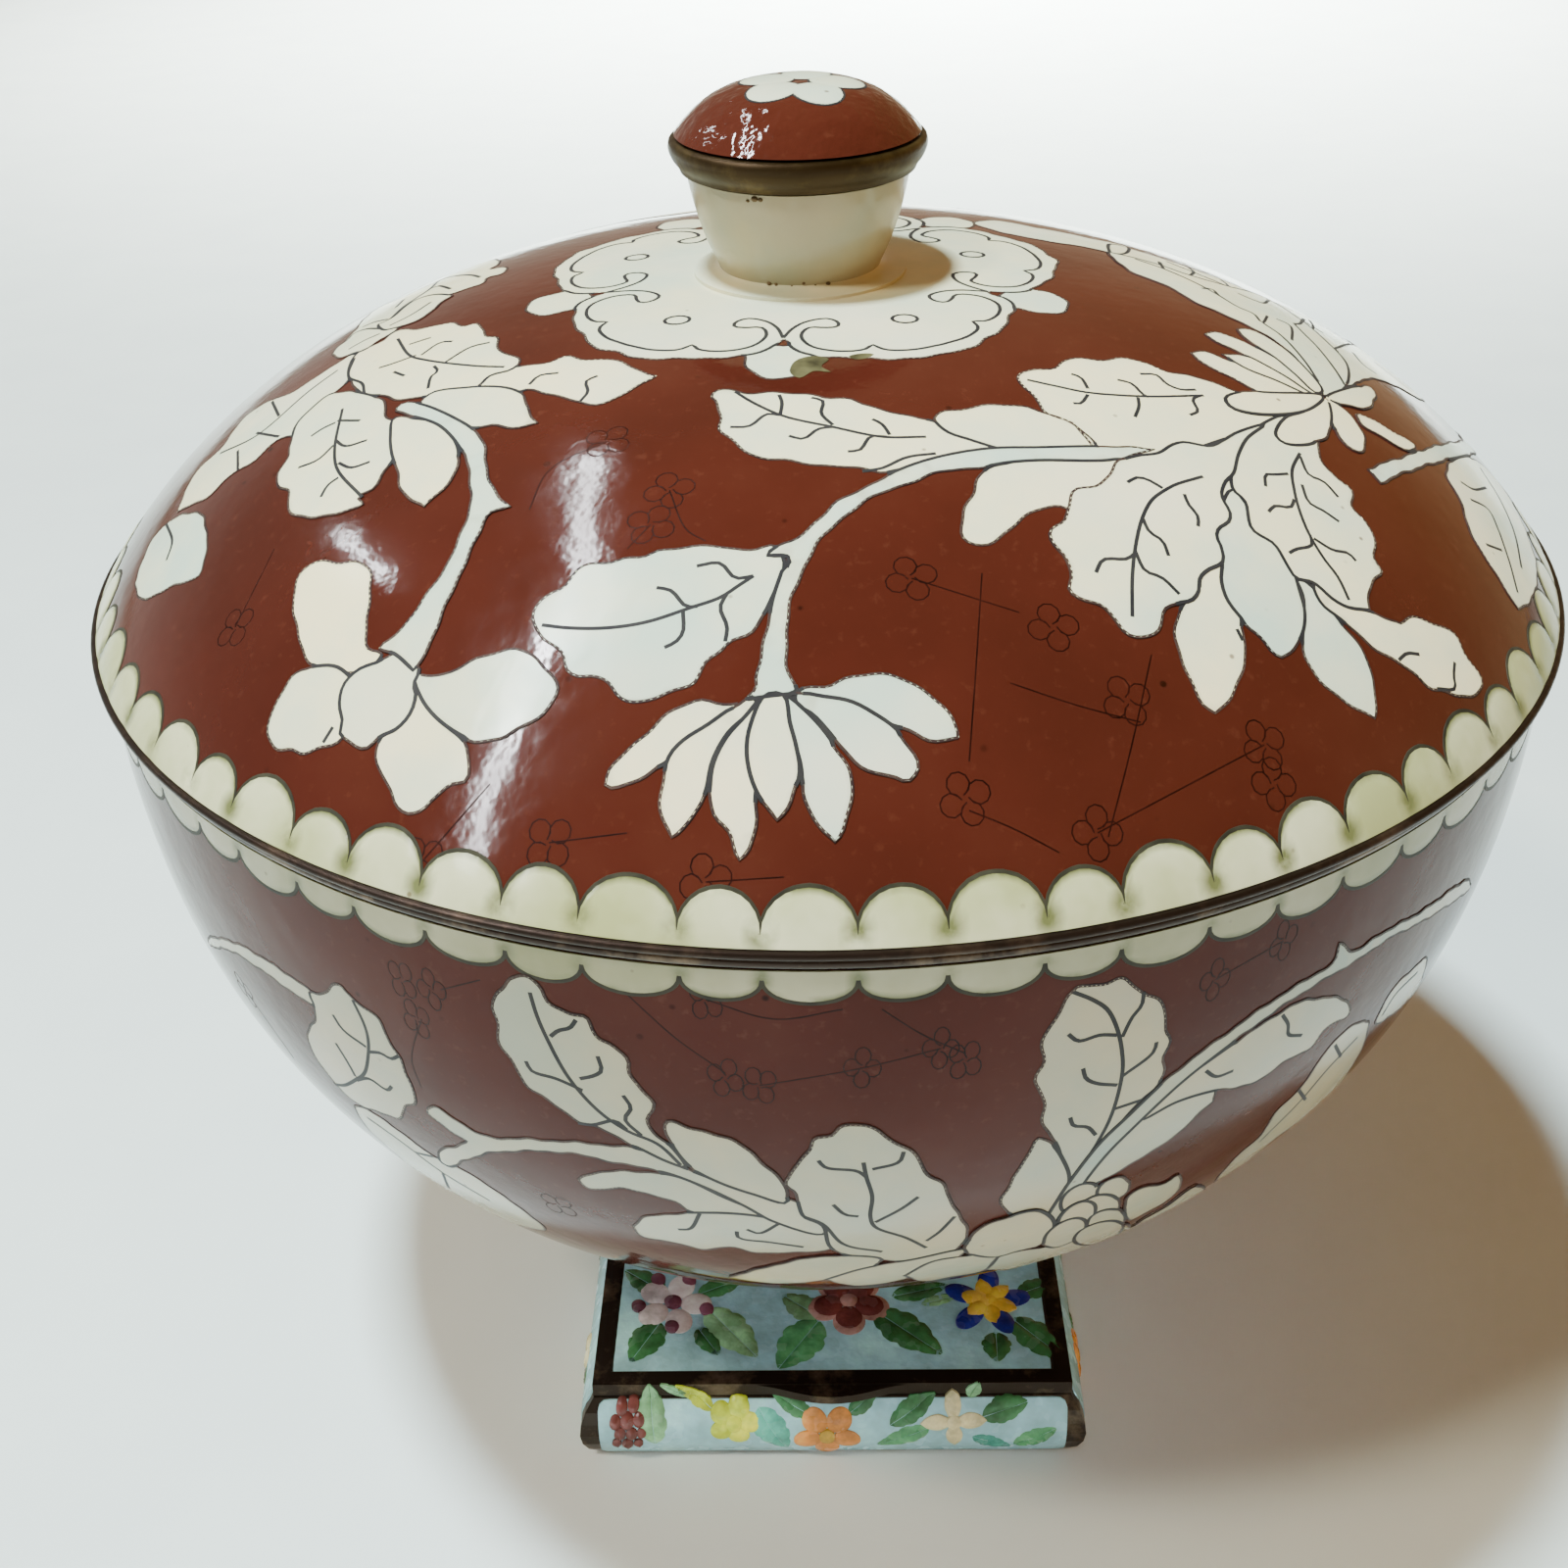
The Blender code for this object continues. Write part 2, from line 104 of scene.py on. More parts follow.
class Plate(NamedTuple):
    """A cell laid out on a surface: its edge and wires are lines of chart points."""
    tint: float
    layer: int
    edge: np.ndarray
    wires: list


def a_length(name, description, default):
    return FloatProperty(name=name, description=description, default=default, unit="LENGTH")


def an_angle(name, description, default):
    return FloatProperty(name=name, description=description, default=default, unit="ROTATION")


def a_number(name, description, default):
    return FloatProperty(name=name, description=description, default=default)


def a_count(name, description, default):
    return IntProperty(name=name, description=description, default=default)


def a_colour(name, description, default):
    return FloatVectorProperty(name=name, description=description, default=default, subtype="COLOR", size=3)


class ShapeSettings(bpy.types.PropertyGroup):
    """Sizes of the bodies"""
    lid_step: a_length("Lid step", "How far the dome's foot line lies inside the rim", 0.00045)
    lid_rise: a_length("Lid rise", "Rim line to crown", NECK_BASE - GAP - RIM_LEVEL)
    lid_fullness: a_number("Lid fullness", "Exponent across the dome", 2.84)
    lid_shoulder: a_number("Lid shoulder", "Exponent up the dome", 1.19)
    bowl_step: a_length("Bowl step", "How far the bowl's mouth lies inside the lid's rim", 0.00132)
    bowl_depth: a_length("Bowl depth", "Rim line to the lowest point of the bowl", 0.09168)
    bowl_fullness: a_number("Bowl fullness", "Exponent across the bowl", 2.0)
    bowl_belly: a_number("Bowl belly", "Exponent down the bowl", 2.55)
    foot_radius: a_length("Foot radius", "Outside of the foot ring where it stands", 0.0280)
    foot_waist: a_length("Foot waist", "Outside of the foot ring at its narrowest", 0.0255)
    foot_wall: a_length("Foot wall", "Thickness of the foot ring", 0.0024)
    turn_steps: a_count("Turn steps", "Facets round the lid and the bowl", 288)
    lid_bead: a_length("Lid bead", "Height of the lid's metal rim", 0.00085)
    case_swell: a_length("Casket swell", "How far the casket's sides swell out", 0.0021)


class OrnamentSettings(bpy.types.PropertyGroup):
    """Sizes of wires and enamel plates"""
    wire_width: a_length("Wire width", "Width of a cloison wire on the lid", 0.00050)
    bowl_wire_width: a_length("Bowl wire width", "Width of a cloison wire on the bowl", 0.00056)
    fringe_width: a_length("Fringe width", "Width of the wire between a plate and the ground", 0.00036)
    wire_proud: a_length("Wire proud", "How far a wire stands above its plate", 0.000010)
    cell_lift: a_length("Cell lift", "Face of the lowest plates above the ground", 0.00002)
    layer_step: a_length("Layer step", "Rise from one layer of plates to the next", 0.00002)
    cell_root: a_length("Cell root", "How deep plates and wires reach into the ground", 0.00012)
    wire_pitch: a_length("Wire pitch", "Distance between points along a wire", 0.0007)
    cell_pitch: a_length("Cell pitch", "Distance between points inside a plate", 0.0013)
    scallops: a_count("Scallops", "Scallops round the lid and round the bowl", 67)


class ColourSettings(bpy.types.PropertyGroup):
    """Colours of enamels and metals"""
    lid_ground: a_colour("Lid ground", "Brick red of the lid", (0.058, 0.0102, 0.0058))
    bowl_ground: a_colour("Bowl ground", "Brownish red of the bowl", (0.062, 0.0150, 0.0105))
    cream_white: a_colour("Cream white", "Cream enamel", (0.88, 0.71, 0.43))
    cool_white: a_colour("Cool white", "Bluish white enamel", (0.52, 0.59, 0.48))
    scallop_green: a_colour("Scallop green", "Darker enamel of the scallops", (0.34, 0.33, 0.13))
    scallop_pale: a_colour("Scallop pale", "Paler enamel of the scallops", (0.66, 0.60, 0.39))
    wire_metal: a_colour("Wire metal", "Oxidised wire", (0.020, 0.018, 0.020))
    rim_metal: a_colour("Rim metal", "Patinated brass", (0.024, 0.014, 0.010))
    casket_blue: a_colour("Casket blue", "Pale blue enamel of the casket", (0.38, 0.70, 0.80))


class CameraSettings(bpy.types.PropertyGroup):
    """Place and lens of the picture's camera"""
    picture_size: a_count("Picture size", "Width and height of the picture in pixels", 1600)
    focal_pixels: a_number("Focal length", "Focal length in pixels of the picture", 1900.0)
    sensor: a_number("Sensor", "Width of the sensor in millimetres", 36.0)
    eye_distance: a_length("Eye distance", "Eye in front of the jar's axis", 0.22032)
    eye_height: a_length("Eye height", "Eye above the rim line", 0.10054)
    pitch: an_angle("Pitch", "Tilt downwards", 0.5607)
    yaw: an_angle("Yaw", "Turn to the right", -0.0213)
    roll: an_angle("Roll", "Turn about the line of sight", -0.0133)


def settings():
    return bpy.context.scene


# Lines and outlines

def smooth_stretch(points, closed, steps):
    """Centripetal Catmull-Rom curve through points, with steps samples between neighbours."""
    if len(points) < 3 and not closed:
        share = np.linspace(0.0, 1.0, steps + 1)[:, None]
        return points[0] * (1.0 - share) + points[-1] * share
    if closed:
        ring = np.vstack([points[-1:], points, points[:2]])
    else:
        ring = np.vstack([2.0 * points[0] - points[1], points, 2.0 * points[-1] - points[-2]])
    share = np.linspace(0.0, 1.0, steps, endpoint=False)[:, None]
    out = []
    for p0, p1, p2, p3 in zip(ring, ring[1:], ring[2:], ring[3:]):
        k1 = math.sqrt(np.linalg.norm(p1 - p0)) + 1e-9
        k2 = k1 + math.sqrt(np.linalg.norm(p2 - p1)) + 1e-9
        k3 = k2 + math.sqrt(np.linalg.norm(p3 - p2)) + 1e-9
        k = k1 + (k2 - k1) * share
        a1 = (k1 - k) / k1 * p0 + k / k1 * p1
        a2 = (k2 - k) / (k2 - k1) * p1 + (k - k1) / (k2 - k1) * p2
        a3 = (k3 - k) / (k3 - k2) * p2 + (k - k2) / (k3 - k2) * p3
        b1 = (k2 - k) / k2 * a1 + k / k2 * a2
        b2 = (k3 - k) / (k3 - k1) * a2 + (k - k1) / (k3 - k1) * a3
        out.append((k2 - k) / (k2 - k1) * b1 + (k - k1) / (k2 - k1) * b2)
    if not closed:
        out.append(points[-1:])
    return np.vstack(out)


def paired(row):
    """The points of a flat row x, y, x, y ...; what already is points stays as it is."""
    if np.ndim(row[0]):
        return row
    points = []
    for value in row:
        if value is CORNER or (points and len(points[-1]) == 1):
            points[-1] += (value,)
        else:
            points.append((value,))
    return points


def smooth_line(points, closed=False, steps=8):
    """A smooth line through points or a flat row, which breaks at each point marked as a corner."""
    points = paired(points)
    corners = [i for i, point in enumerate(points) if len(point) > 2]
    at = np.array([(point[0], point[1]) for point in points], float)
    if not corners:
        return smooth_stretch(at, closed, steps)
    if closed:
        order = list(range(corners[0], len(at))) + list(range(corners[0] + 1))
        at = at[order]
        marks = [0] + [i for i, k in enumerate(order) if k in corners and 0 < i < len(order) - 1]
    else:
        marks = sorted(set([0] + corners))
    marks.append(len(at) - 1)
    runs = [smooth_stretch(at[a:b + 1], False, steps) for a, b in zip(marks, marks[1:]) if b > a]
    line = np.vstack([runs[0]] + [run[1:] for run in runs[1:]])
    return line[:-1] if closed else line


def even_line(points, pitch, closed=False):
    """The line sampled again with points about pitch apart."""
    points = np.asarray(points, float)
    ring = np.vstack([points, points[:1]]) if closed else points
    along = np.concatenate([[0.0], np.cumsum(np.linalg.norm(np.diff(ring, axis=0), axis=1))])
    count = max(int(round(along[-1] / pitch)), 3)
    at = np.linspace(0.0, along[-1], count + 1)
    out = np.stack([np.interp(at, along, ring[:, k]) for k in range(ring.shape[1])], axis=1)
    return out[:-1] if closed else out


def inside(points, outline):
    """Which points lie inside a closed outline."""
    x, y = points[:, 0][:, None], points[:, 1][:, None]
    x1, y1 = outline[:, 0][None], outline[:, 1][None]
    x2, y2 = np.roll(outline[:, 0], -1)[None], np.roll(outline[:, 1], -1)[None]
    rise = np.where(np.abs(y2 - y1) < FAINT, FAINT, y2 - y1)
    hits = ((y1 > y) != (y2 > y)) & (x < (x2 - x1) * (y - y1) / rise + x1)
    return hits.sum(axis=1) % 2 == 1


def covered(points, outlines):
    """Which points lie inside any of the outlines."""
    found = np.zeros(len(points), bool)
    for outline in outlines:
        found |= inside(points, outline)
    return found


def outward(edge):
    """Unit vectors in the chart that point out of a closed outline."""
    along = np.roll(edge, -1, axis=0) - np.roll(edge, 1, axis=0)
    area = np.sum(edge[:, 0] * np.roll(edge[:, 1], -1) - np.roll(edge[:, 0], -1) * edge[:, 1])
    side = np.stack([along[:, 1], -along[:, 0]], axis=1) * (1.0 if area > 0.0 else -1.0)
    return side / (np.linalg.norm(side, axis=1)[:, None] + FAINT)


def stretches(line, keep, closed=False):
    """The stretches of a line where keep holds, each with one more point at both ends."""
    count = len(line)
    if keep.all():
        return [np.vstack([line, line[:1]]) if closed else line]
    if closed:
        start = int(np.argmin(keep))
        line, keep = np.roll(line, -start, axis=0), np.roll(keep, -start)
    out = []
    first = None
    for i in range(count + 1):
        if i < count and keep[i]:
            first = i if first is None else first
        elif first is not None:
            out.append(line[max(first - 1, 0):min(i + 1, count)])
            first = None
    return [run for run in out if len(run) > 2]


def turned_line(points, angle):
    """Chart points turned about the pole."""
    c, s = math.cos(angle), math.sin(angle)
    return points @ np.array([[c, s], [-s, c]])


def petal_outline(base, tip, width):
    """A pointed petal from its base to its tip."""
    along = tip - base
    side = np.array([-along[1], along[0]]) / np.linalg.norm(along)
    half = 0.5 * width
    left = [tuple(base + share * along + wide * half * side) for share, wide in PETAL_SIDE]
    right = [tuple(base + share * along - wide * half * side) for share, wide in PETAL_SIDE[::-1]]
    return left + [tuple(tip) + (CORNER,)] + right


def oval_outline(centre, across, along, turn=0.0):
    """An oval with its two half axes, turned by an angle."""
    c, s = math.cos(turn), math.sin(turn)
    out = []
    for k in range(OVAL_POINTS):
        angle = 2.0 * math.pi * k / OVAL_POINTS
        x, y = across * math.cos(angle), along * math.sin(angle)
        out.append((centre[0] + x * c - y * s, centre[1] + x * s + y * c))
    return tuple(out)


# Surfaces that carry the ornament

def along_and_turn(chart):
    """Distance from the pole and angle from the front."""
    return np.hypot(chart[:, 0], chart[:, 1]), np.arctan2(chart[:, 0], -chart[:, 1])


class TurnedFace:
    """The enamelled outside of a turned body. A chart point is measured along the surface from the
    pole, x to the right and y away from the front; lift is height above the enamel."""

    def __init__(self, radii, heights, shift=0.0):
        self.radii = radii
        self.heights = heights
        self.shift = shift
        self.arc = np.concatenate([[0.0], np.cumsum(np.hypot(np.diff(radii), np.diff(heights)))])
        run = np.gradient(radii)
        fall = np.gradient(heights)
        size = np.hypot(run, fall)
        sign = 1.0 if heights[0] > heights[-1] else -1.0
        self.normal_out = -sign * fall / size
        self.normal_up = sign * run / size

    def place(self, chart, lift=0.0):
        along, turn = along_and_turn(chart)
        radius = np.interp(along, self.arc, self.radii) + lift * np.interp(along, self.arc, self.normal_out)
        height = np.interp(along, self.arc, self.heights) + lift * np.interp(along, self.arc, self.normal_up)
        return np.stack([self.shift + radius * np.sin(turn), -radius * np.cos(turn), height], axis=1)

    def normals(self, chart):
        along, turn = along_and_turn(chart)
        out = np.interp(along, self.arc, self.normal_out)
        up = np.interp(along, self.arc, self.normal_up)
        return np.stack([out * np.sin(turn), -out * np.cos(turn), up], axis=1)

    @staticmethod
    def polar(azimuth, along):
        """Chart point at an azimuth in degrees from the front and a distance from the pole."""
        angle = np.radians(azimuth)
        return np.stack([along * np.sin(angle), -along * np.cos(angle)], axis=-1)


class FlatFace:
    """A flat or slightly swelling face of the casket: x across, y up along it, lift outwards."""

    def __init__(self, origin, across, upwards, outwards, swell=0.0, height=1.0):
        self.origin = np.array(origin)
        self.across = np.array(across)
        self.upwards = np.array(upwards)
        self.outwards = np.array(outwards)
        self.swell = swell
        self.height = height

    def place(self, chart, lift=0.0):
        share = np.clip(chart[:, 1] / self.height, 0.0, 1.0)
        out = self.swell * np.abs(np.sin(math.pi * share)) ** 0.8 + lift
        return (self.origin + chart[:, :1] * self.across + chart[:, 1:2] * self.upwards
                + np.reshape(out, (-1, 1)) * self.outwards)

    def normals(self, chart):
        return np.tile(self.outwards, (len(chart), 1))


def lid_height(radius):
    shape = settings().jar_shape
    share = np.clip(radius / (RIM_RADIUS - shape.lid_step), 0.0, 1.0) ** shape.lid_fullness
    return RIM_LEVEL + shape.lid_rise * (1.0 - share) ** (1.0 / shape.lid_shoulder)


def bowl_radius(height):
    shape = settings().jar_shape
    share = np.clip((RIM_LEVEL - height) / shape.bowl_depth, 0.0, 1.0) ** shape.bowl_belly
    return (RIM_RADIUS - shape.bowl_step) * (1.0 - share) ** (1.0 / shape.bowl_fullness)


def lid_face():
    foot = RIM_RADIUS - settings().jar_shape.lid_step
    radii = foot * np.sin(np.linspace(0.0, QUARTER, FINE_STEPS))
    return TurnedFace(radii, lid_height(radii))


def bowl_face():
    depth = settings().jar_shape.bowl_depth
    heights = RIM_LEVEL - depth * np.cos(np.linspace(0.0, QUARTER, FINE_STEPS))
    return TurnedFace(bowl_radius(heights), heights)


class Eye:
    """The camera of the picture. It also tells where a pixel's line of sight meets a surface."""

    def __init__(self):
        look = settings().jar_camera
        self.place = np.array([0.0, -look.eye_distance, RIM_LEVEL + look.eye_height])
        ahead = np.array([0.0, math.cos(look.pitch), -math.sin(look.pitch)])
        right = np.array([1.0, 0.0, 0.0])
        up = np.cross(right, ahead)
        c, s = math.cos(look.yaw), math.sin(look.yaw)
        ahead, right = c * ahead + s * right, c * right - s * ahead
        c, s = math.cos(look.roll), math.sin(look.roll)
        self.right = c * right + s * up
        self.up = c * up - s * right
        self.ahead = ahead
        self.focal = look.focal_pixels
        self.centre = 0.5 * look.picture_size

    def sights(self, pixels):
        across = (pixels[:, :1] - self.centre) / self.focal
        down = (pixels[:, 1:2] - self.centre) / self.focal
        ray = self.ahead + across * self.right - down * self.up
        return ray / np.linalg.norm(ray, axis=1)[:, None]

    def meet(self, pixels, outside):
        """Where each line of sight first enters the body for which outside(points) turns negative."""
        ray = self.sights(pixels)
        steps = np.linspace(*SIGHT_REACH, SIGHT_STEPS) * RIM_RADIUS
        clear = outside(self.place + steps[None, :, None] * ray[:, None, :])
        within = clear < 0.0
        grazing = ~within.any(axis=1)
        nearest = np.argmin(clear, axis=1)
        missed = clear.min(axis=1) > GRAZING_REACH
        if missed.any():
            raise ValueError(f"the line of sight at {pixels[missed][0]} misses the surface")
        hit = np.argmax(within, axis=1)
        low, high = steps[np.maximum(hit - 1, 0)], steps[hit]
        for _ in range(HALVINGS):
            middle = 0.5 * (low + high)
            deep = outside(self.place + middle[:, None] * ray) < 0.0
            high = np.where(deep, middle, high)
            low = np.where(deep, low, middle)
        return self.place + np.where(grazing, steps[nearest], high)[:, None] * ray


def outside_lid(points):
    return points[..., 2] - lid_height(np.hypot(points[..., 0], points[..., 1]))


def outside_bowl(points):
    below = points[..., 2] - RIM_LEVEL
    gap = np.hypot(points[..., 0], points[..., 1]) - bowl_radius(points[..., 2])
    return np.where(below > 0.0, 1.0, gap)


class PictureReader:
    """Turns lines drawn on the picture into chart lines on the lid or the bowl."""

    def __init__(self, face, on_lid):
        self.eye = Eye()
        self.face = face
        self.on_lid = on_lid

    def chart(self, pixels):
        points = self.eye.meet(pixels, outside_lid if self.on_lid else outside_bowl)
        radius, turn = along_and_turn(points)
        if self.on_lid:
            along = np.interp(radius, self.face.radii, self.face.arc)
        else:
            along = np.interp(points[:, 2], self.face.heights, self.face.arc)
        return np.stack([along * np.sin(turn), -along * np.cos(turn)], axis=1)

    def line(self, points, closed=False):
        return self.chart(smooth_line(points, closed))


class ChartReader:
    """For faces that the picture doesn't show: lines are given in metres of the chart."""

    def line(self, points, closed=False):
        return smooth_line(points, closed)


class FlatReader:
    """Turns lines drawn on the picture into chart lines on a face of the casket."""

    def __init__(self, face):
        self.eye = Eye()
        self.face = face

    def line(self, points, closed=False):
        face = self.face
        ray = self.eye.sights(smooth_line(points, closed))
        middle = face.origin + 0.8 * face.swell * face.outwards
        reach = (middle - self.eye.place) @ face.outwards / (ray @ face.outwards)
        at = self.eye.place + reach[:, None] * ray - face.origin
        return np.stack([at @ face.across, at @ face.upwards], axis=1)


# Meshes

SHARP_ANGLE = math.radians(40.0)


class Piece:
    """Collects points and faces, and becomes one named object that rides on the jar."""

    def __init__(self):
        self.points = []
        self.faces = []
        self.finish = []
        self.inner = []
        self.tint = []
        self.count = 0

    def add(self, points, faces, finish=0, inner=None, tint=0.0):
        size = len(points)
        self.points.append(np.asarray(points, float))
        self.faces.extend([tuple(int(k) + self.count for k in face) for face in faces])
        self.finish.extend([finish] * len(faces))
        self.inner.append(np.ones(size) if inner is None else inner)
        self.tint.append(np.full(size, tint))
        self.count += size

    def make(self, name, finishes, slot, replaces=()):
        mesh = bpy.data.meshes.new(name)
        mesh.from_pydata(np.vstack(self.points).tolist(), [], self.faces)
        mesh.polygons.foreach_set("material_index", self.finish)
        mesh.polygons.foreach_set("use_smooth", [True] * len(self.faces))
        for label, values in (("inner", self.inner), ("tint", self.tint)):
            store = mesh.attributes.new(label, "FLOAT", "POINT")
            store.data.foreach_set("value", np.concatenate(values).astype(np.float32))
        for finish in finishes:
            mesh.materials.append(finish)
        mesh.validate()
        mesh.update()
        mesh.set_sharp_from_angle(angle=SHARP_ANGLE)
        thing = bpy.data.objects.new(name, mesh)
        bpy.context.scene.collection.objects.link(thing)
        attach(thing, "root")
        if replaces:
            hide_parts(*replaces)


def add_turned(piece, profile, steps, centre=(0.0, 0.0), closed=True, finish=0, tint=0.0):
    """A turned body from (radius, height) points that run down its outside and back up inside."""
    turn = np.linspace(0.0, 2.0 * math.pi, steps, endpoint=False)
    points = []
    ends = []
    for radius, height in profile:
        if radius <= 0.0:
            ends.append(height)
            continue
        points.append(np.stack([
            centre[0] + radius * np.cos(turn),
            centre[1] + radius * np.sin(turn),
            np.full(steps, height)], axis=1))
    rows = len(points)
    faces = []
    for row in range(rows if closed else rows - 1):
        a, b = row * steps, (row + 1) % rows * steps
        faces += [(a + k, b + k, b + (k + 1) % steps, a + (k + 1) % steps) for k in range(steps)]
    body = np.vstack(points)
    if not closed:
        top = len(body)
        body = np.vstack([body, [[centre[0], centre[1], ends[0]], [centre[0], centre[1], ends[1]]]])
        base = (rows - 1) * steps
        for k in range(steps):
            after = (k + 1) % steps
            faces.append((top, k, after))
            faces.append((top + 1, base + after, base + k))
    piece.add(body, faces, finish, tint=tint)


def add_bead(piece, place, radius, finish, squash=0.8):
    """A small ball, flattened by squash along Z."""
    rings, steps = 5, 10
    turn = np.linspace(0.0, 2.0 * math.pi, steps, endpoint=False)
    rows = []
    for k in range(1, rings):
        rise = math.pi * k / rings
        rows.append(np.stack([np.sin(rise) * np.cos(turn), np.sin(rise) * np.sin(turn),
                              np.full(steps, squash * math.cos(rise))], axis=1))
    points = np.vstack(rows + [[[0.0, 0.0, squash], [0.0, 0.0, -squash]]]) * radius + np.array(place)
    top, low = len(points) - 2, len(points) - 1
    faces = []
    for k in range(steps):
        after = (k + 1) % steps
        faces.append((top, k, after))
        for row in range(rings - 2):
            a, b = row * steps, (row + 1) * steps
            faces.append((a + k, b + k, b + after, a + after))
        faces.append((low, (rings - 2) * steps + after, (rings - 2) * steps + k))
    piece.add(points, faces, finish)


class Inlay:
    """Lays enamel plates and wires on a face."""

    def __init__(self, face, cells, wires, width=None):
        self.face = face
        self.cells = cells
        self.wires = wires
        self.set = settings().jar_ornament
        self.width = width or self.set.wire_width
        self.far_gain = 0.0

    def layer_lift(self, layer):
        return self.set.cell_lift + layer * self.set.layer_step

    def cell(self, edge, lift, finish=0, tint=0.0, pitch=None, dome=0.0, dome_reach=STAIN_REACH, root=None):
        """A thin closed plate of enamel inside an edge of chart points; dome raises its middle."""
        pitch = pitch or self.set.cell_pitch
        root = self.set.cell_root if root is None else root
        low, high = edge.min(axis=0), edge.max(axis=0)
        columns = np.arange(low[0], high[0], pitch)
        rows = np.arange(low[1], high[1], pitch * ROW_SHARE)
        grid = np.array([(x + 0.5 * pitch * (k % 2), y) for k, y in enumerate(rows) for x in columns])
        if len(grid):
            grid = grid[inside(grid, edge)]
        if len(grid):
            reach = np.linalg.norm(grid[:, None] - edge[None], axis=2).min(axis=1)
            grid = grid[reach > 0.45 * pitch]
        flat = np.vstack([edge, grid]) if len(grid) else edge
        found = delaunay_2d_cdt([Vector(point / MM) for point in flat], [], [list(range(len(edge)))], 1, 1e-4)
        at = np.array([tuple(point) for point in found[0]]) * MM
        triangles = [tuple(face) for face in found[2]]
        if not triangles:
            raise ValueError("an outline encloses nothing")
        reach = np.linalg.norm(at[:, None] - edge[None], axis=2).min(axis=1)
        share = np.clip(reach / dome_reach, 0.0, 1.0)
        top = self.face.place(at, lift + dome * (1.0 - (1.0 - share) ** 2))
        bottom = self.face.place(at, np.full(len(at), -root))
        a, b, c = (top[k] for k in triangles[0])
        if float(np.dot(np.cross(b - a, c - a), self.face.normals(at[list(triangles[0])])[0])) < 0.0:
            triangles = [face[::-1] for face in triangles]
        used = set()
        for face in triangles:
            used.update(zip(face, face[1:] + face[:1]))
        size = len(at)
        faces = triangles + [tuple(size + k for k in face[::-1]) for face in triangles]
        faces += [(b, a, size + a, size + b) for a, b in sorted(used) if (b, a) not in used]
        depth = np.clip(reach / STAIN_REACH, 0.0, 1.0)
        self.cells.add(np.vstack([top, bottom]), faces, finish, np.concatenate([depth, depth]), tint)

    def wire(self, line, lift, closed=False, width=None, proud=None, finish=0, root=None):
        """A wire of rounded section along a chart line."""
        proud = self.set.wire_proud if proud is None else proud
        root = self.set.cell_root if root is None else root
        at = even_line(line, self.set.wire_pitch, closed)
        width = (width or self.width) * (1.0 + self.far_gain * np.clip(at[:, 1:] / FAR_REACH, 0.0, 1.0))
        middle = self.face.place(at, np.full(len(at), lift))
        if closed:
            along = np.roll(middle, -1, axis=0) - np.roll(middle, 1, axis=0)
        else:
            along = np.gradient(middle, axis=0)
        up = self.face.normals(at)
        side = np.cross(up, along)
        side /= np.linalg.norm(side, axis=1)[:, None] + FAINT
        section = ((-0.5, -root), (-0.4, 0.6 * proud), (0.0, proud), (0.4, 0.6 * proud), (0.5, -root))
        rings = [middle + across * width * side + rise * up for across, rise in section]
        points = np.stack(rings, axis=1).reshape(-1, 3)
        n, m = len(at), len(section)
        faces = []
        for i in range(n if closed else n - 1):
            j = (i + 1) % n
            faces += [(i * m + k, i * m + (k + 1) % m, j * m + (k + 1) % m, j * m + k) for k in range(m)]
        if not closed:
            faces.append(tuple(range(m))[::-1])
            faces.append(tuple((n - 1) * m + k for k in range(m)))
        self.wires.add(points, faces, finish)


def read_plates(reader, cells, pitch):
    """The picture's cells as plates on the surface."""
    plates = []
    for cell in cells:
        edge = even_line(reader.line(cell.outline, closed=True), pitch, closed=True)
        wires = [even_line(reader.line(wire), 0.5 * pitch) for wire in cell.wires]
        plates.append(Plate(cell.tint, cell.layer, edge, wires))
    return plates


def lay_plates(inlay, plates, turns=(0.0,), ripple=RIPPLE):
    """Lays plates once for each turn, with a wire where two meet and a fringe along the ground."""
    thin = inlay.set.fringe_width * inlay.width / inlay.set.wire_width
    for number, plate in enumerate(plates):
        others = [other.edge for other in plates if other is not plate]
        above = [other.edge for other in plates if other.layer > plate.layer]
        out = outward(plate.edge)
        hidden = covered(plate.edge, above)
        backed = covered(plate.edge + NEIGHBOUR_REACH * out, others)
        free = ~(hidden | backed)
        step = np.arange(len(plate.edge)) * inlay.set.wire_pitch / MM
        wave = np.sin(0.8 * step + 2.4 * number) + 0.7 * np.sin(1.7 * step + 1.1 * number)
        edge = plate.edge + (ripple * wave * free)[:, None] * out
        lift = inlay.layer_lift(plate.layer)
        meeting = stretches(edge, backed & ~hidden, closed=True)
        ground = stretches(edge, free, closed=True)
        inner = [run for wire in plate.wires for run in stretches(wire, ~covered(wire, above))]
        for angle in turns:
            inlay.cell(turned_line(edge, angle), lift, tint=plate.tint)
            for run in meeting + inner:
                inlay.wire(turned_line(run, angle), lift)
            for run in ground:
                inlay.wire(turned_line(run, angle), lift, width=thin, proud=0.0, finish=1)


# Finishes. Noise scales are counts to the metre, bumps are (height, strength, distance).

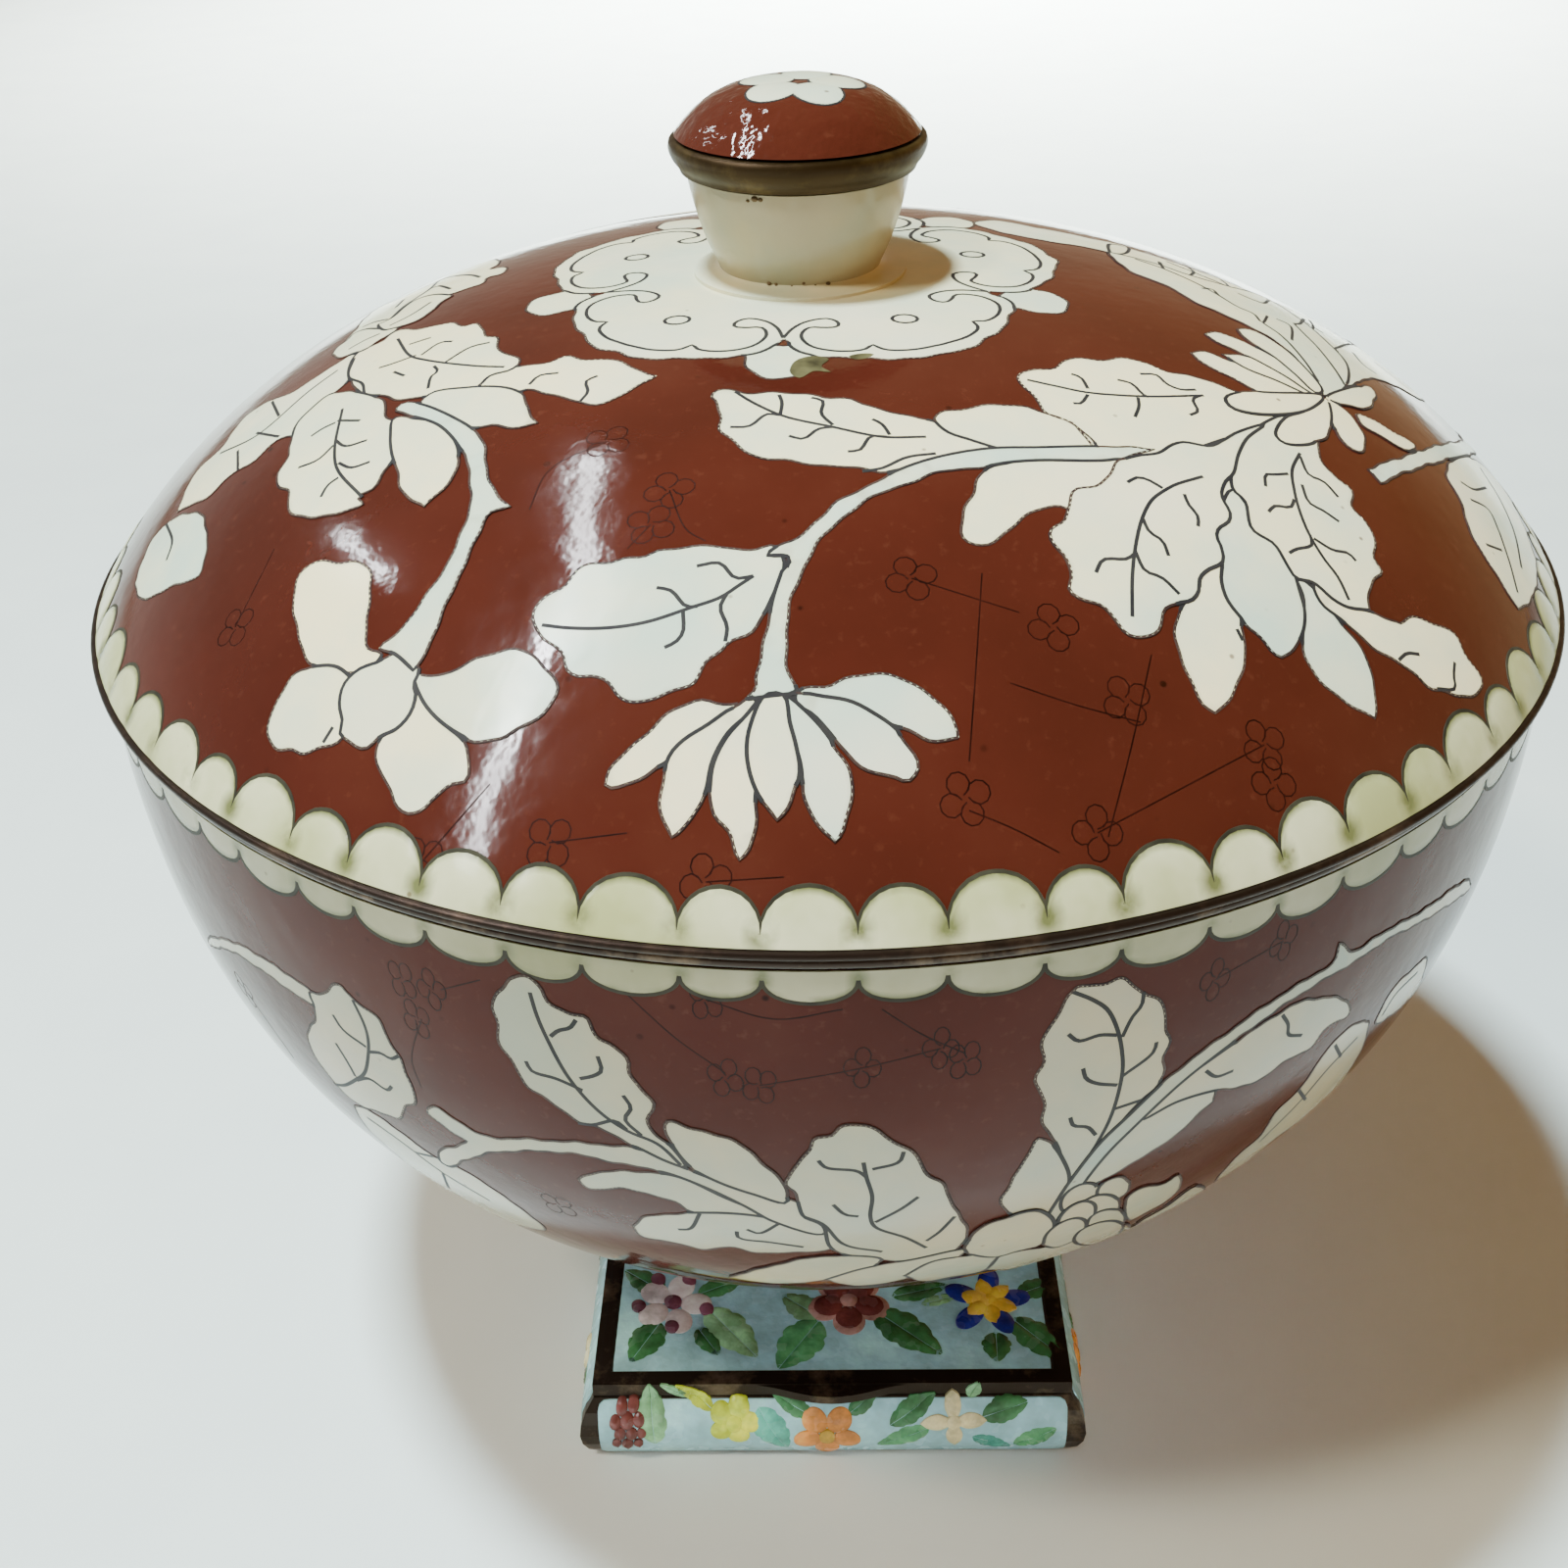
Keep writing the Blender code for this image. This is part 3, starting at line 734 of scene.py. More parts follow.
class Nodes:
    """A node tree that grows by a node with each call."""

    def __init__(self, tree):
        self.tree = tree

    def put(self, socket, value):
        """Puts a number, a colour or another node's output into a socket."""
        if isinstance(value, bpy.types.NodeSocket):
            self.tree.links.new(value, socket)
        else:
            socket.default_value = (*value, 1.0) if isinstance(value, tuple) else value

    def node(self, kind, inputs):
        node = self.tree.nodes.new("ShaderNode" + kind)
        for key, value in inputs.items():
            self.put(node.inputs[key], value)
        return node

    def ramp(self, value, stops):
        """A colour ramp: stops are (position, colour)."""
        node = self.node("ValToRGB", {"Fac": value})
        line = node.color_ramp
        while len(line.elements) < len(stops):
            line.elements.new(0.5)
        for element, (position, colour) in zip(line.elements, stops):
            element.position = position
            element.color = (*colour, 1.0)
        return node.outputs["Color"]

    def mix(self, share, first, second):
        """Two colours mixed; a mix node's colour sockets have no names of their own."""
        node = self.tree.nodes.new("ShaderNodeMix")
        node.data_type = "RGBA"
        for socket, value in ((0, share), (6, first), (7, second)):
            self.put(node.inputs[socket], value)
        return node.outputs[2]

    def mapped(self, value, from_low, from_high, to_low=0.0, to_high=1.0):
        """A value carried from one range over to another, and held inside it."""
        ends = {"From Min": from_low, "From Max": from_high, "To Min": to_low, "To Max": to_high}
        return self.node("MapRange", {"Value": value, **ends}).outputs["Result"]

    def joined(self, first, second, operation="MULTIPLY"):
        """Two values multiplied, or joined by another operation."""
        node = self.node("Math", {0: first, 1: second})
        node.operation = operation
        return node.outputs["Value"]


class Finish(Nodes):
    """A material on its own Principled shader, patterned in the piece's own space."""

    def __init__(self, name):
        self.material = bpy.data.materials.new(name)
        self.material.use_nodes = True
        super().__init__(self.material.node_tree)
        self.shader = self.tree.nodes["Principled BSDF"]
        self.place = self.tree.nodes.new("ShaderNodeTexCoord").outputs["Object"]

    def noise(self, scale, detail=4.0, rough=0.55):
        inputs = {"Vector": self.place, "Scale": scale, "Detail": detail, "Roughness": rough}
        return self.node("TexNoise", inputs).outputs["Fac"]

    def clouds(self, scale, detail, low, high, to_low=0.0, to_high=1.0, rough=0.55):
        """Noise carried over to another range."""
        return self.mapped(self.noise(scale, detail, rough), low, high, to_low, to_high)

    def attribute(self, name):
        node = self.tree.nodes.new("ShaderNodeAttribute")
        node.attribute_name = name
        return node.outputs["Fac"]

    def pits(self, scale, size, where, low, high):
        """Small round pits in some regions of the enamel: 1 in a pit, 0 elsewhere."""
        cells = self.node("TexVoronoi", {"Vector": self.place, "Scale": scale})
        holes = self.mapped(cells.outputs["Distance"], size, 0.5 * size)
        return self.joined(holes, self.clouds(where, 2.0, low, high))

    def dress(self, colour, roughness, bumps=(), shine=0.5, metallic=0.0):
        """Puts what was made on the shader, the bumps stacked, and gives the material."""
        sockets = {
            "Base Color": colour, "Roughness": roughness, "Specular IOR Level": shine, "Metallic": metallic}
        for height, strength, distance in bumps:
            inputs = {"Height": height, "Strength": strength, "Distance": distance}
            if "Normal" in sockets:
                inputs["Normal"] = sockets["Normal"]
            sockets["Normal"] = self.node("Bump", inputs).outputs["Normal"]
        for name, value in sockets.items():
            self.put(self.shader.inputs[name], value)
        return self.material


def scaled(colour, factor):
    return tuple(min(channel * factor, 1.0) for channel in colour)


def ground_enamel(name, colour, waves=0.35, dimples=0.18, shine=0.40):
    """The brick red ground: cloudy, speckled, glossy and slightly wavy, with a few pits."""
    red = Finish(name)
    bright = (colour[0] * 1.20, colour[1] * 1.5, colour[2] * 1.5)
    tones = ((0.30, scaled(colour, 0.80)), (0.52, tuple(colour)), (0.75, bright))
    cloud = red.ramp(red.noise(34.0, 5.0), tones)
    grain = red.joined(red.clouds(900.0, 3.0, 0.60, 0.76), 0.35)
    speckled = red.mix(grain, cloud, (colour[0] * 1.7, colour[1] * 2.6, colour[2] * 2.6))
    holes = red.pits(210.0, 0.10, 60.0, 0.52, 0.62)
    pitted = red.mix(red.joined(holes, 0.85), speckled, scaled(colour, 0.15))
    bumps = (
        (red.noise(95.0, 2.0), waves, 0.0004),
        (red.noise(420.0, 2.0), dimples, 0.0002),
        (holes, -0.5, 0.0002))
    return red.dress(pitted, red.clouds(75.0, 4.0, 0.3, 0.7, 0.06, 0.13), bumps, shine)


def white_enamel(name, colours, stain=(0.40, 0.35, 0.24), stain_share=0.5, tone=1.0):
    """White enamel: cream to bluish by tint and in clouds, stained near its wires, with pinholes."""
    white = Finish(name)
    cloudy = white.clouds(55.0, 4.0, 0.34, 0.66, -1.0, 1.0, rough=0.6)
    warmth = white.mapped(white.joined(white.attribute("tint"), cloudy, "ADD"), -1.6, 1.6)
    milky = white.mix(warmth, scaled(colours.cool_white, tone), scaled(colours.cream_white, tone))
    blush = white.clouds(33.0, 3.0, 0.52, 0.70, 0.0, 0.55)
    tinted = white.mix(blush, milky, scaled((0.86, 0.70, 0.52), tone))
    near = white.mapped(white.attribute("inner"), 0.40, 0.0)
    patchy = white.clouds(190.0, 4.0, 0.42, 0.66)
    stained = white.mix(white.joined(near, white.joined(patchy, stain_share)), tinted, stain)
    holes = white.pits(260.0, 0.09, 90.0, 0.57, 0.65)
    pitted = white.mix(white.joined(holes, 0.8), stained, (0.16, 0.10, 0.07))
    bumps = ((white.noise(170.0, 3.0), 0.25, 0.0003), (holes, -0.4, 0.0002))
    return white.dress(pitted, white.clouds(120.0, 3.0, 0.3, 0.7, 0.12, 0.26), bumps, 0.45)


def scallop_enamel(name, colours, tone):
    """Pale green enamel of the borders, darker and greener towards its wires and the points between scallops:
    painted shade round each rounded scallop, with a greenish stain.
    """
    pale = Finish(name)
    cloud = pale.clouds(60.0, 4.0, 0.35, 0.65, -1.0, 1.0)
    share = pale.mapped(pale.joined(pale.attribute("tint"), cloud, "ADD"), -1.3, 1.3)
    plain = pale.mix(share, scaled(colours.scallop_green, tone), scaled(colours.scallop_pale, tone))
    # near: the painted shade round the rounded scallops, with a greenish stain, strongest at the heads and
    # between scallops
    near = pale.mapped(pale.attribute("inner"), 0.90, 0.25)
    stained = pale.mix(pale.joined(near, pale.clouds(190.0, 5.0, 0.32, 0.54)), plain, (0.135, 0.135, 0.050))
    holes = pale.pits(300.0, 0.10, 90.0, 0.54, 0.62)
    pitted = pale.mix(pale.joined(holes, 0.8), stained, (0.14, 0.10, 0.05))
    return pale.dress(pitted, 0.2, ((pale.noise(200.0, 3.0), 0.3, 0.0003), (holes, -0.4, 0.0002)))


def casket_enamel(name, colour, spread, scale):
    """Thick enamel over a raised flower: streaky and glossy."""
    thick = Finish(name)
    dark, pale = scaled(colour, 1.0 - spread), scaled(colour, 1.0 + 1.4 * spread)
    streaks = thick.ramp(thick.noise(scale, 4.0, 0.65), ((0.32, dark), (0.52, tuple(colour)), (0.72, pale)))
    return thick.dress(streaks, thick.clouds(300.0, 2.0, 0.3, 0.7, 0.12, 0.35),
                       ((thick.noise(380.0, 3.0), 0.9, 0.0003),))


def patinated_metal(name, colour, bright, rough=0.38):
    """Dark brass, rubbed brighter in streaks."""
    brass = Finish(name)
    worn = brass.mix(brass.clouds(140.0, 5.0, 0.50, 0.74, rough=0.7), tuple(colour), bright)
    return brass.dress(worn, brass.clouds(260.0, 4.0, 0.2, 0.8, rough - 0.08, rough + 0.12),
                       ((brass.noise(800.0, 3.0), 0.25, 0.0001),), metallic=0.75)


def wire_metal(name, colour, edge=(0.036, 0.031, 0.030), shine=0.15):
    """Oxidised wire, brown where firing has worn it."""
    wire = Finish(name)
    tarnish = wire.ramp(wire.noise(300.0, 3.0), ((0.35, tuple(colour)), (0.75, edge)))
    return wire.dress(tarnish, 0.5, shine=shine)


def wire_finishes(name, colours):
    """The wire between plates and the fringe between a plate and the ground."""
    return [wire_metal(name + "_wire", colours.wire_metal),
            wire_metal(name + "_fringe", (0.026, 0.014, 0.014), (0.070, 0.040, 0.032))]


# The jar's bodies

def offset_profile(profile, distance):
    """The profile moved square to itself towards the inside of the vessel."""
    at = np.array(profile)
    along = np.gradient(at, axis=0)
    along /= np.linalg.norm(along, axis=1)[:, None]
    moved = np.stack([at[:, 0] + along[:, 1] * distance, at[:, 1] - along[:, 0] * distance], axis=1)
    moved[:, 0] = np.maximum(moved[:, 0], 0.0)
    return moved


def half_round(radius, low, height):
    """The outside of a metal rim, from its top to its underside."""
    half = 0.5 * height
    return [(radius - half + half * math.cos(a), low + half + half * math.sin(a))
            for a in np.linspace(QUARTER, -QUARTER, 13)]


class JAR_OT_lid_body(bpy.types.Operator):
    """Turn the lid's dome as a shell of true thickness"""
    bl_idname = "jar.lid_body"
    bl_label = "Lid body"

    def execute(self, context):
        shape = context.scene.jar_shape
        foot = RIM_RADIUS - shape.lid_step
        radii = foot * np.sin(np.linspace(0.0, QUARTER, 400))
        outer = np.stack([radii, lid_height(radii)], axis=1)
        inner = offset_profile(outer, WALL)
        inner[0] = (0.0, outer[0, 1] - WALL)
        base = RIM_LEVEL + shape.lid_bead + BEAD_GAP
        outer = even_line(outer[outer[:, 1] >= base], OUTER_PITCH)
        inner = even_line(inner[inner[:, 1] >= base], INNER_PITCH)
        piece = Piece()
        add_turned(piece, np.vstack([outer, inner[::-1]]), shape.turn_steps, closed=False)
        red = ground_enamel("brick_red_lid", context.scene.jar_colours.lid_ground, waves=0.22)
        piece.make("lid_body", [red], "lid_enamel", ["lid"])
        return {"FINISHED"}


class JAR_OT_bowl_body(bpy.types.Operator):
    """Turn the bowl with its foot ring"""
    bl_idname = "jar.bowl_body"
    bl_label = "Bowl body"

    def execute(self, context):
        shape = context.scene.jar_shape
        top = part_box("bowl")[1].z
        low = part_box("bowl")[0].z
        heights = RIM_LEVEL - shape.bowl_depth * np.cos(np.linspace(0.0, QUARTER, 500))
        heights = np.append(heights[heights < top], top)[::-1]
        outer = np.stack([bowl_radius(heights), heights], axis=1)
        inner = offset_profile(outer, WALL)
        inner[0] = (outer[0, 0] - WALL, top)
        inner[-1] = (0.0, outer[-1, 1] + WALL)
        side = outer[outer[:, 0] > shape.foot_waist]
        rise = side[-1, 1] - low
        foot = smooth_line((
            (shape.foot_waist, low + 0.82 * rise), (shape.foot_waist, low + 0.5 * rise),
            (0.5 * (shape.foot_waist + shape.foot_radius), low + 0.2 * rise),
            (shape.foot_radius, low + 1.2 * MM)))
        under = [(shape.foot_radius, low), (shape.foot_radius - shape.foot_wall, low),
                 (shape.foot_waist - shape.foot_wall, low + 0.5 * rise)]
        recess = outer[outer[:, 0] < shape.foot_waist - shape.foot_wall]
        profile = np.vstack([
            even_line(inner, INNER_PITCH)[::-1], even_line(side, OUTER_PITCH), even_line(foot, 1.0 * MM),
            under, even_line(recess, 2.5 * MM)])
        piece = Piece()
        add_turned(piece, profile, shape.turn_steps, closed=False)
        red = ground_enamel("brick_red_bowl", context.scene.jar_colours.bowl_ground, shine=0.08)
        piece.make("bowl_body", [red], "bowl_enamel", ["bowl"])
        return {"FINISHED"}


class JAR_OT_rims(bpy.types.Operator):
    """Turn the metal rims of the lid and the bowl"""
    bl_idname = "jar.rims"
    bl_label = "Metal rims"

    def execute(self, context):
        shape = context.scene.jar_shape
        colours = context.scene.jar_colours
        dark = patinated_metal("rim_brass_dark", colours.rim_metal, (0.075, 0.045, 0.030))
        # The bowl's rim takes a paler, glossier copy of the brass: rubbed wear with a painted highlight.
        worn = patinated_metal("rim_brass_worn_highlit", scaled(colours.rim_metal, 1.2), (0.17, 0.115, 0.075), 0.3)
        bowl_inside = RIM_RADIUS - shape.bowl_step - WALL
        inner = bowl_inside - FLANGE_GAP - FLANGE_WALL
        flange = inner + FLANGE_WALL
        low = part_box("lid_rim")[0].z
        lid_rim = Piece()
        profile = [(inner, RIM_LEVEL + shape.lid_bead)] + half_round(RIM_RADIUS, RIM_LEVEL, shape.lid_bead)
        add_turned(lid_rim, profile + [(flange, RIM_LEVEL), (flange, low), (inner, low)], shape.turn_steps)
        lid_rim.make("lid_edge", [dark], "rim_brass", ["lid_rim"])
        low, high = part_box("bowl_rim")
        bowl_rim = Piece()
        bead = half_round(high.x, low.z, high.z - low.z)
        add_turned(bowl_rim, [(bowl_inside, high.z)] + bead + [(bowl_inside, low.z)], shape.turn_steps)
        bowl_rim.make("bowl_edge", [worn], "rim_brass", ["bowl_rim"])
        return {"FINISHED"}


# Scalloped borders

# Distances from the foot line of the dome, or from the rim line of the bowl: foot, valley and top
LID_BORDER = (0.95 * MM, 2.25 * MM, 6.65 * MM)
BOWL_BORDER = (1.9 * MM, 3.0 * MM, 5.6 * MM)
ARCH_BEND = 0.9                     # exponent of the sine that draws an arch
SCALLOP_WIRE = 0.50 * MM
SCALLOP_PHASE = -0.83               # azimuth of the scallop nearest to the front
SCALLOP_SHIFT = 0.30                # unevenness of the widths, in degrees
SCALLOP_UNEVEN = 0.40 * MM          # unevenness of the heights
VALLEY_SHADE_AND_STAIN = 2.4 * MM            # reach of the painted shade and greenish stain round the point between two scallops
BORDER_SHADE_AND_STAIN = 1.0 * MM             # reach of the painted shade and greenish stain along the heads
BORDER_RISE = 2.6 * MM              # distance from the heads at which the enamel is at its highest
BORDER_ROWS = 8


def arches(face, valley, top):
    """The round heads of the scallops, each a line from valley to valley, as they run on round the rim."""
    count = settings().jar_ornament.scallops
    half = 180.0 / count
    ends = [SCALLOP_PHASE + half * (2 * k + 1) + SCALLOP_SHIFT * math.sin(3.7 * k) for k in range(count)]
    angles = np.linspace(math.pi, 0.0, 13)
    out = []
    for k in range(count):
        first, last = ends[k - 1] - (360.0 if k == 0 else 0.0), ends[k]
        azimuth = 0.5 * (first + last) + 0.5 * (last - first) * np.cos(angles)
        uneven = SCALLOP_UNEVEN * math.sin(2.7 * k) * (top - valley) / (LID_BORDER[1] - LID_BORDER[2])
        height = top - valley + uneven
        out.append(face.polar(azimuth, valley + height * np.sin(angles) ** ARCH_BEND))
    return out


def add_border(inlay, heads, foot, bulge):
    """One band of enamel round the rim with the heads as its edge, raised away from them."""
    face = inlay.face
    edge = np.vstack([head[:-1] for head in heads])
    along, turn = along_and_turn(edge)
    rows = [face.polar(np.degrees(turn), along + (foot - along) * share)
            for share in np.linspace(0.0, 1.0, BORDER_ROWS) ** 1.4]
    chart = np.vstack(rows)
    reach = np.array([np.linalg.norm(edge - point, axis=1).min() for point in chart])
    rise = bulge * (1.0 - (1.0 - np.clip(reach / BORDER_RISE, 0.0, 1.0)) ** 2)
    top = face.place(chart, inlay.layer_lift(0) + rise)
    bottom = face.place(chart, np.full(len(chart), -inlay.set.cell_root))
    n, size = len(edge), len(chart)
    upper = [(r * n + k, r * n + (k + 1) % n, (r + 1) * n + (k + 1) % n, (r + 1) * n + k)
             for r in range(BORDER_ROWS - 1) for k in range(n)]
    last = size - n
    sides = [(k, size + k, size + (k + 1) % n, (k + 1) % n) for k in range(n)]
    sides += [(last + (k + 1) % n, size + last + (k + 1) % n, size + last + k, last + k) for k in range(n)]
    faces = upper + sides + [tuple(size + k for k in quad[::-1]) for quad in upper]
    a, b, c = (top[k] for k in upper[0][:3])
    if float(np.dot(np.cross(b - a, c - a), face.normals(chart[:1])[0])) < 0.0:
        faces = [quad[::-1] for quad in faces]
    # The inner attribute falls near the heads and the points between scallops, where the finish paints shade
    # with a greenish stain.
    valleys = np.array([head[-1] for head in heads])
    away = np.array([np.linalg.norm(valleys - point, axis=1).min() for point in chart])
    depth = np.clip(np.minimum(reach / BORDER_SHADE_AND_STAIN, away / VALLEY_SHADE_AND_STAIN), 0.0, 1.0)
    inlay.cells.add(np.vstack([top, bottom]), faces, 0, np.concatenate([depth, depth]))


class JAR_OT_scallops(bpy.types.Operator):
    """Lay the scalloped borders of the lid and the bowl"""
    bl_idname = "jar.scallops"
    bl_label = "Scalloped borders"

    def execute(self, context):
        colours = context.scene.jar_colours
        metal = wire_metal("scallop_wire", (0.022, 0.019, 0.013), (0.050, 0.044, 0.028))
        # The bowl's scallops take a darker copy of the enamel, at tone 0.62: painted shade on the bowl's
        # side, with dirt.
        for name, face, border, bulge, tone in (
                ("lid", lid_face(), LID_BORDER, 0.18 * MM, 1.0),
                ("bowl", bowl_face(), BOWL_BORDER, 0.05 * MM, 0.62)):
            cells, wires = Piece(), Piece()
            inlay = Inlay(face, cells, wires)
            foot, valley, top = (face.arc[-1] - size for size in border)
            heads = arches(face, valley, top)
            add_border(inlay, heads, foot, bulge)
            for head in heads:
                inlay.wire(head, inlay.layer_lift(1), width=SCALLOP_WIRE)
            pale = scallop_enamel(name + "_scallop_enamel", colours, tone)
            cells.make(name + "_scallops", [pale], name + "_enamel")
            wires.make(name + "_scallop_wires", [metal], name + "_enamel")
        return {"FINISHED"}


# Medallion round the knob: five ruyi heads with a tongue between neighbours

RUYI_HEADS = 5
RUYI_PHASE = -40.3                  # azimuth of one head's axis
RUYI_EDGE = (0.0, 31.3, 5.0, 31.5, 10.0, 30.8, 14.5, 30.2, 19.0, 29.5, 23.0, 28.8, 27.0, 28.2, 31.0, 27.2,
             33.5, 25.8, 36.0, 23.4)
RUYI_SCROLL = (0.0, 29.4, 7.0, 29.2, 12.5, 28.2, 14.5, 26.5, CORNER, 17.0, 27.5, 23.0, 27.3, 28.8, 25.7,
               31.2, 22.8, 28.6, 20.6, 24.0, 20.9, 20.3, 20.9, 19.2, 19.7, 22.0, 18.3, 29.0, 18.8,
               33.5, 20.6, 36.0, 23.4)
TONGUE = (29.0, 26.0, 28.8, 28.6, 30.0, 31.0, 32.6, 32.5, 36.0, 33.0, 39.4, 32.5, 42.0, 31.0, 43.2, 28.6,
          43.0, 26.0)
RING_PLACE = (1.0, 21.6)
RING_RADIUS = 1.45 * MM
MEDALLION_RIPPLE = 0.17 * MM
MEDALLION_STAINS = (
    (810, 370, 826, 364, 846, 367, 838, 374, 848, 380, 830, 379, 816, 386, 806, 380),
    (866, 364, 880, 361, 892, 362, 884, 366, 872, 367))


def about_knob(row, turn, mirror=1.0):
    """Chart points from a row of degrees from the head's axis and millimetres from the knob's axis."""
    out = []
    for point in paired(row):
        angle = math.radians(turn + mirror * point[0])
        at = (KNOB_SHIFT + point[1] * MM * math.sin(angle), -point[1] * MM * math.cos(angle))
        out.append(at + tuple(point[2:]))
    return tuple(out)


class JAR_OT_medallion(bpy.types.Operator):
    """Lay the white medallion with its ruyi heads round the knob"""
    bl_idname = "jar.medallion"
    bl_label = "Medallion"

    def execute(self, context):
        colours = context.scene.jar_colours
        cells, wires = Piece(), Piece()
        inlay = Inlay(lid_face(), cells, wires, 1.1 * context.scene.jar_ornament.wire_width)
        inlay.far_gain = 0.5
        pitch = inlay.set.wire_pitch
        edge = []
        lines = []
        tongues = []
        for k in range(RUYI_HEADS):
            turn = RUYI_PHASE + 360.0 / RUYI_HEADS * k
            edge += about_knob(RUYI_EDGE, turn, -1.0)[:0:-1] + about_knob(RUYI_EDGE, turn)[:-1]
            tongue = even_line(smooth_line(about_knob(TONGUE, turn), closed=True), pitch, closed=True)
            tongues.append(Plate(MILKY, 0, tongue, []))
            for mirror in (-1.0, 1.0):
                lines.append(even_line(smooth_line(about_knob(RUYI_SCROLL, turn, mirror)), 0.5 * pitch))
            ring = about_knob(RING_PLACE, turn)[0]
            circle = smooth_line(oval_outline(ring, RING_RADIUS, 0.85 * RING_RADIUS), closed=True)
            lines.append(even_line(np.vstack([circle, circle[:1]]), 0.5 * pitch))
        outline = even_line(smooth_line(edge, closed=True), pitch, closed=True)
        lay_plates(inlay, tongues + [Plate(MILKY, 1, outline, lines)], ripple=MEDALLION_RIPPLE)
        reader = PictureReader(inlay.face, True)
        for stain in MEDALLION_STAINS:
            patch = even_line(reader.line(stain, closed=True), 0.5 * MM, closed=True)
            inlay.cell(patch, inlay.layer_lift(2), 1)
        white = white_enamel("medallion_white", colours, (0.42, 0.38, 0.26), 0.3)
        olive = wire_metal("olive_stain", (0.030, 0.024, 0.012), (0.13, 0.11, 0.05))
        cells.make("lid_medallion", [white, olive], "white_enamel")
        wires.make("lid_medallion_wires", wire_finishes("medallion", colours), "white_enamel")
        return {"FINISHED"}


# Sprays, drawn in pixels of the picture: rows of x, y, x, y ... with CORNER after a sharp point

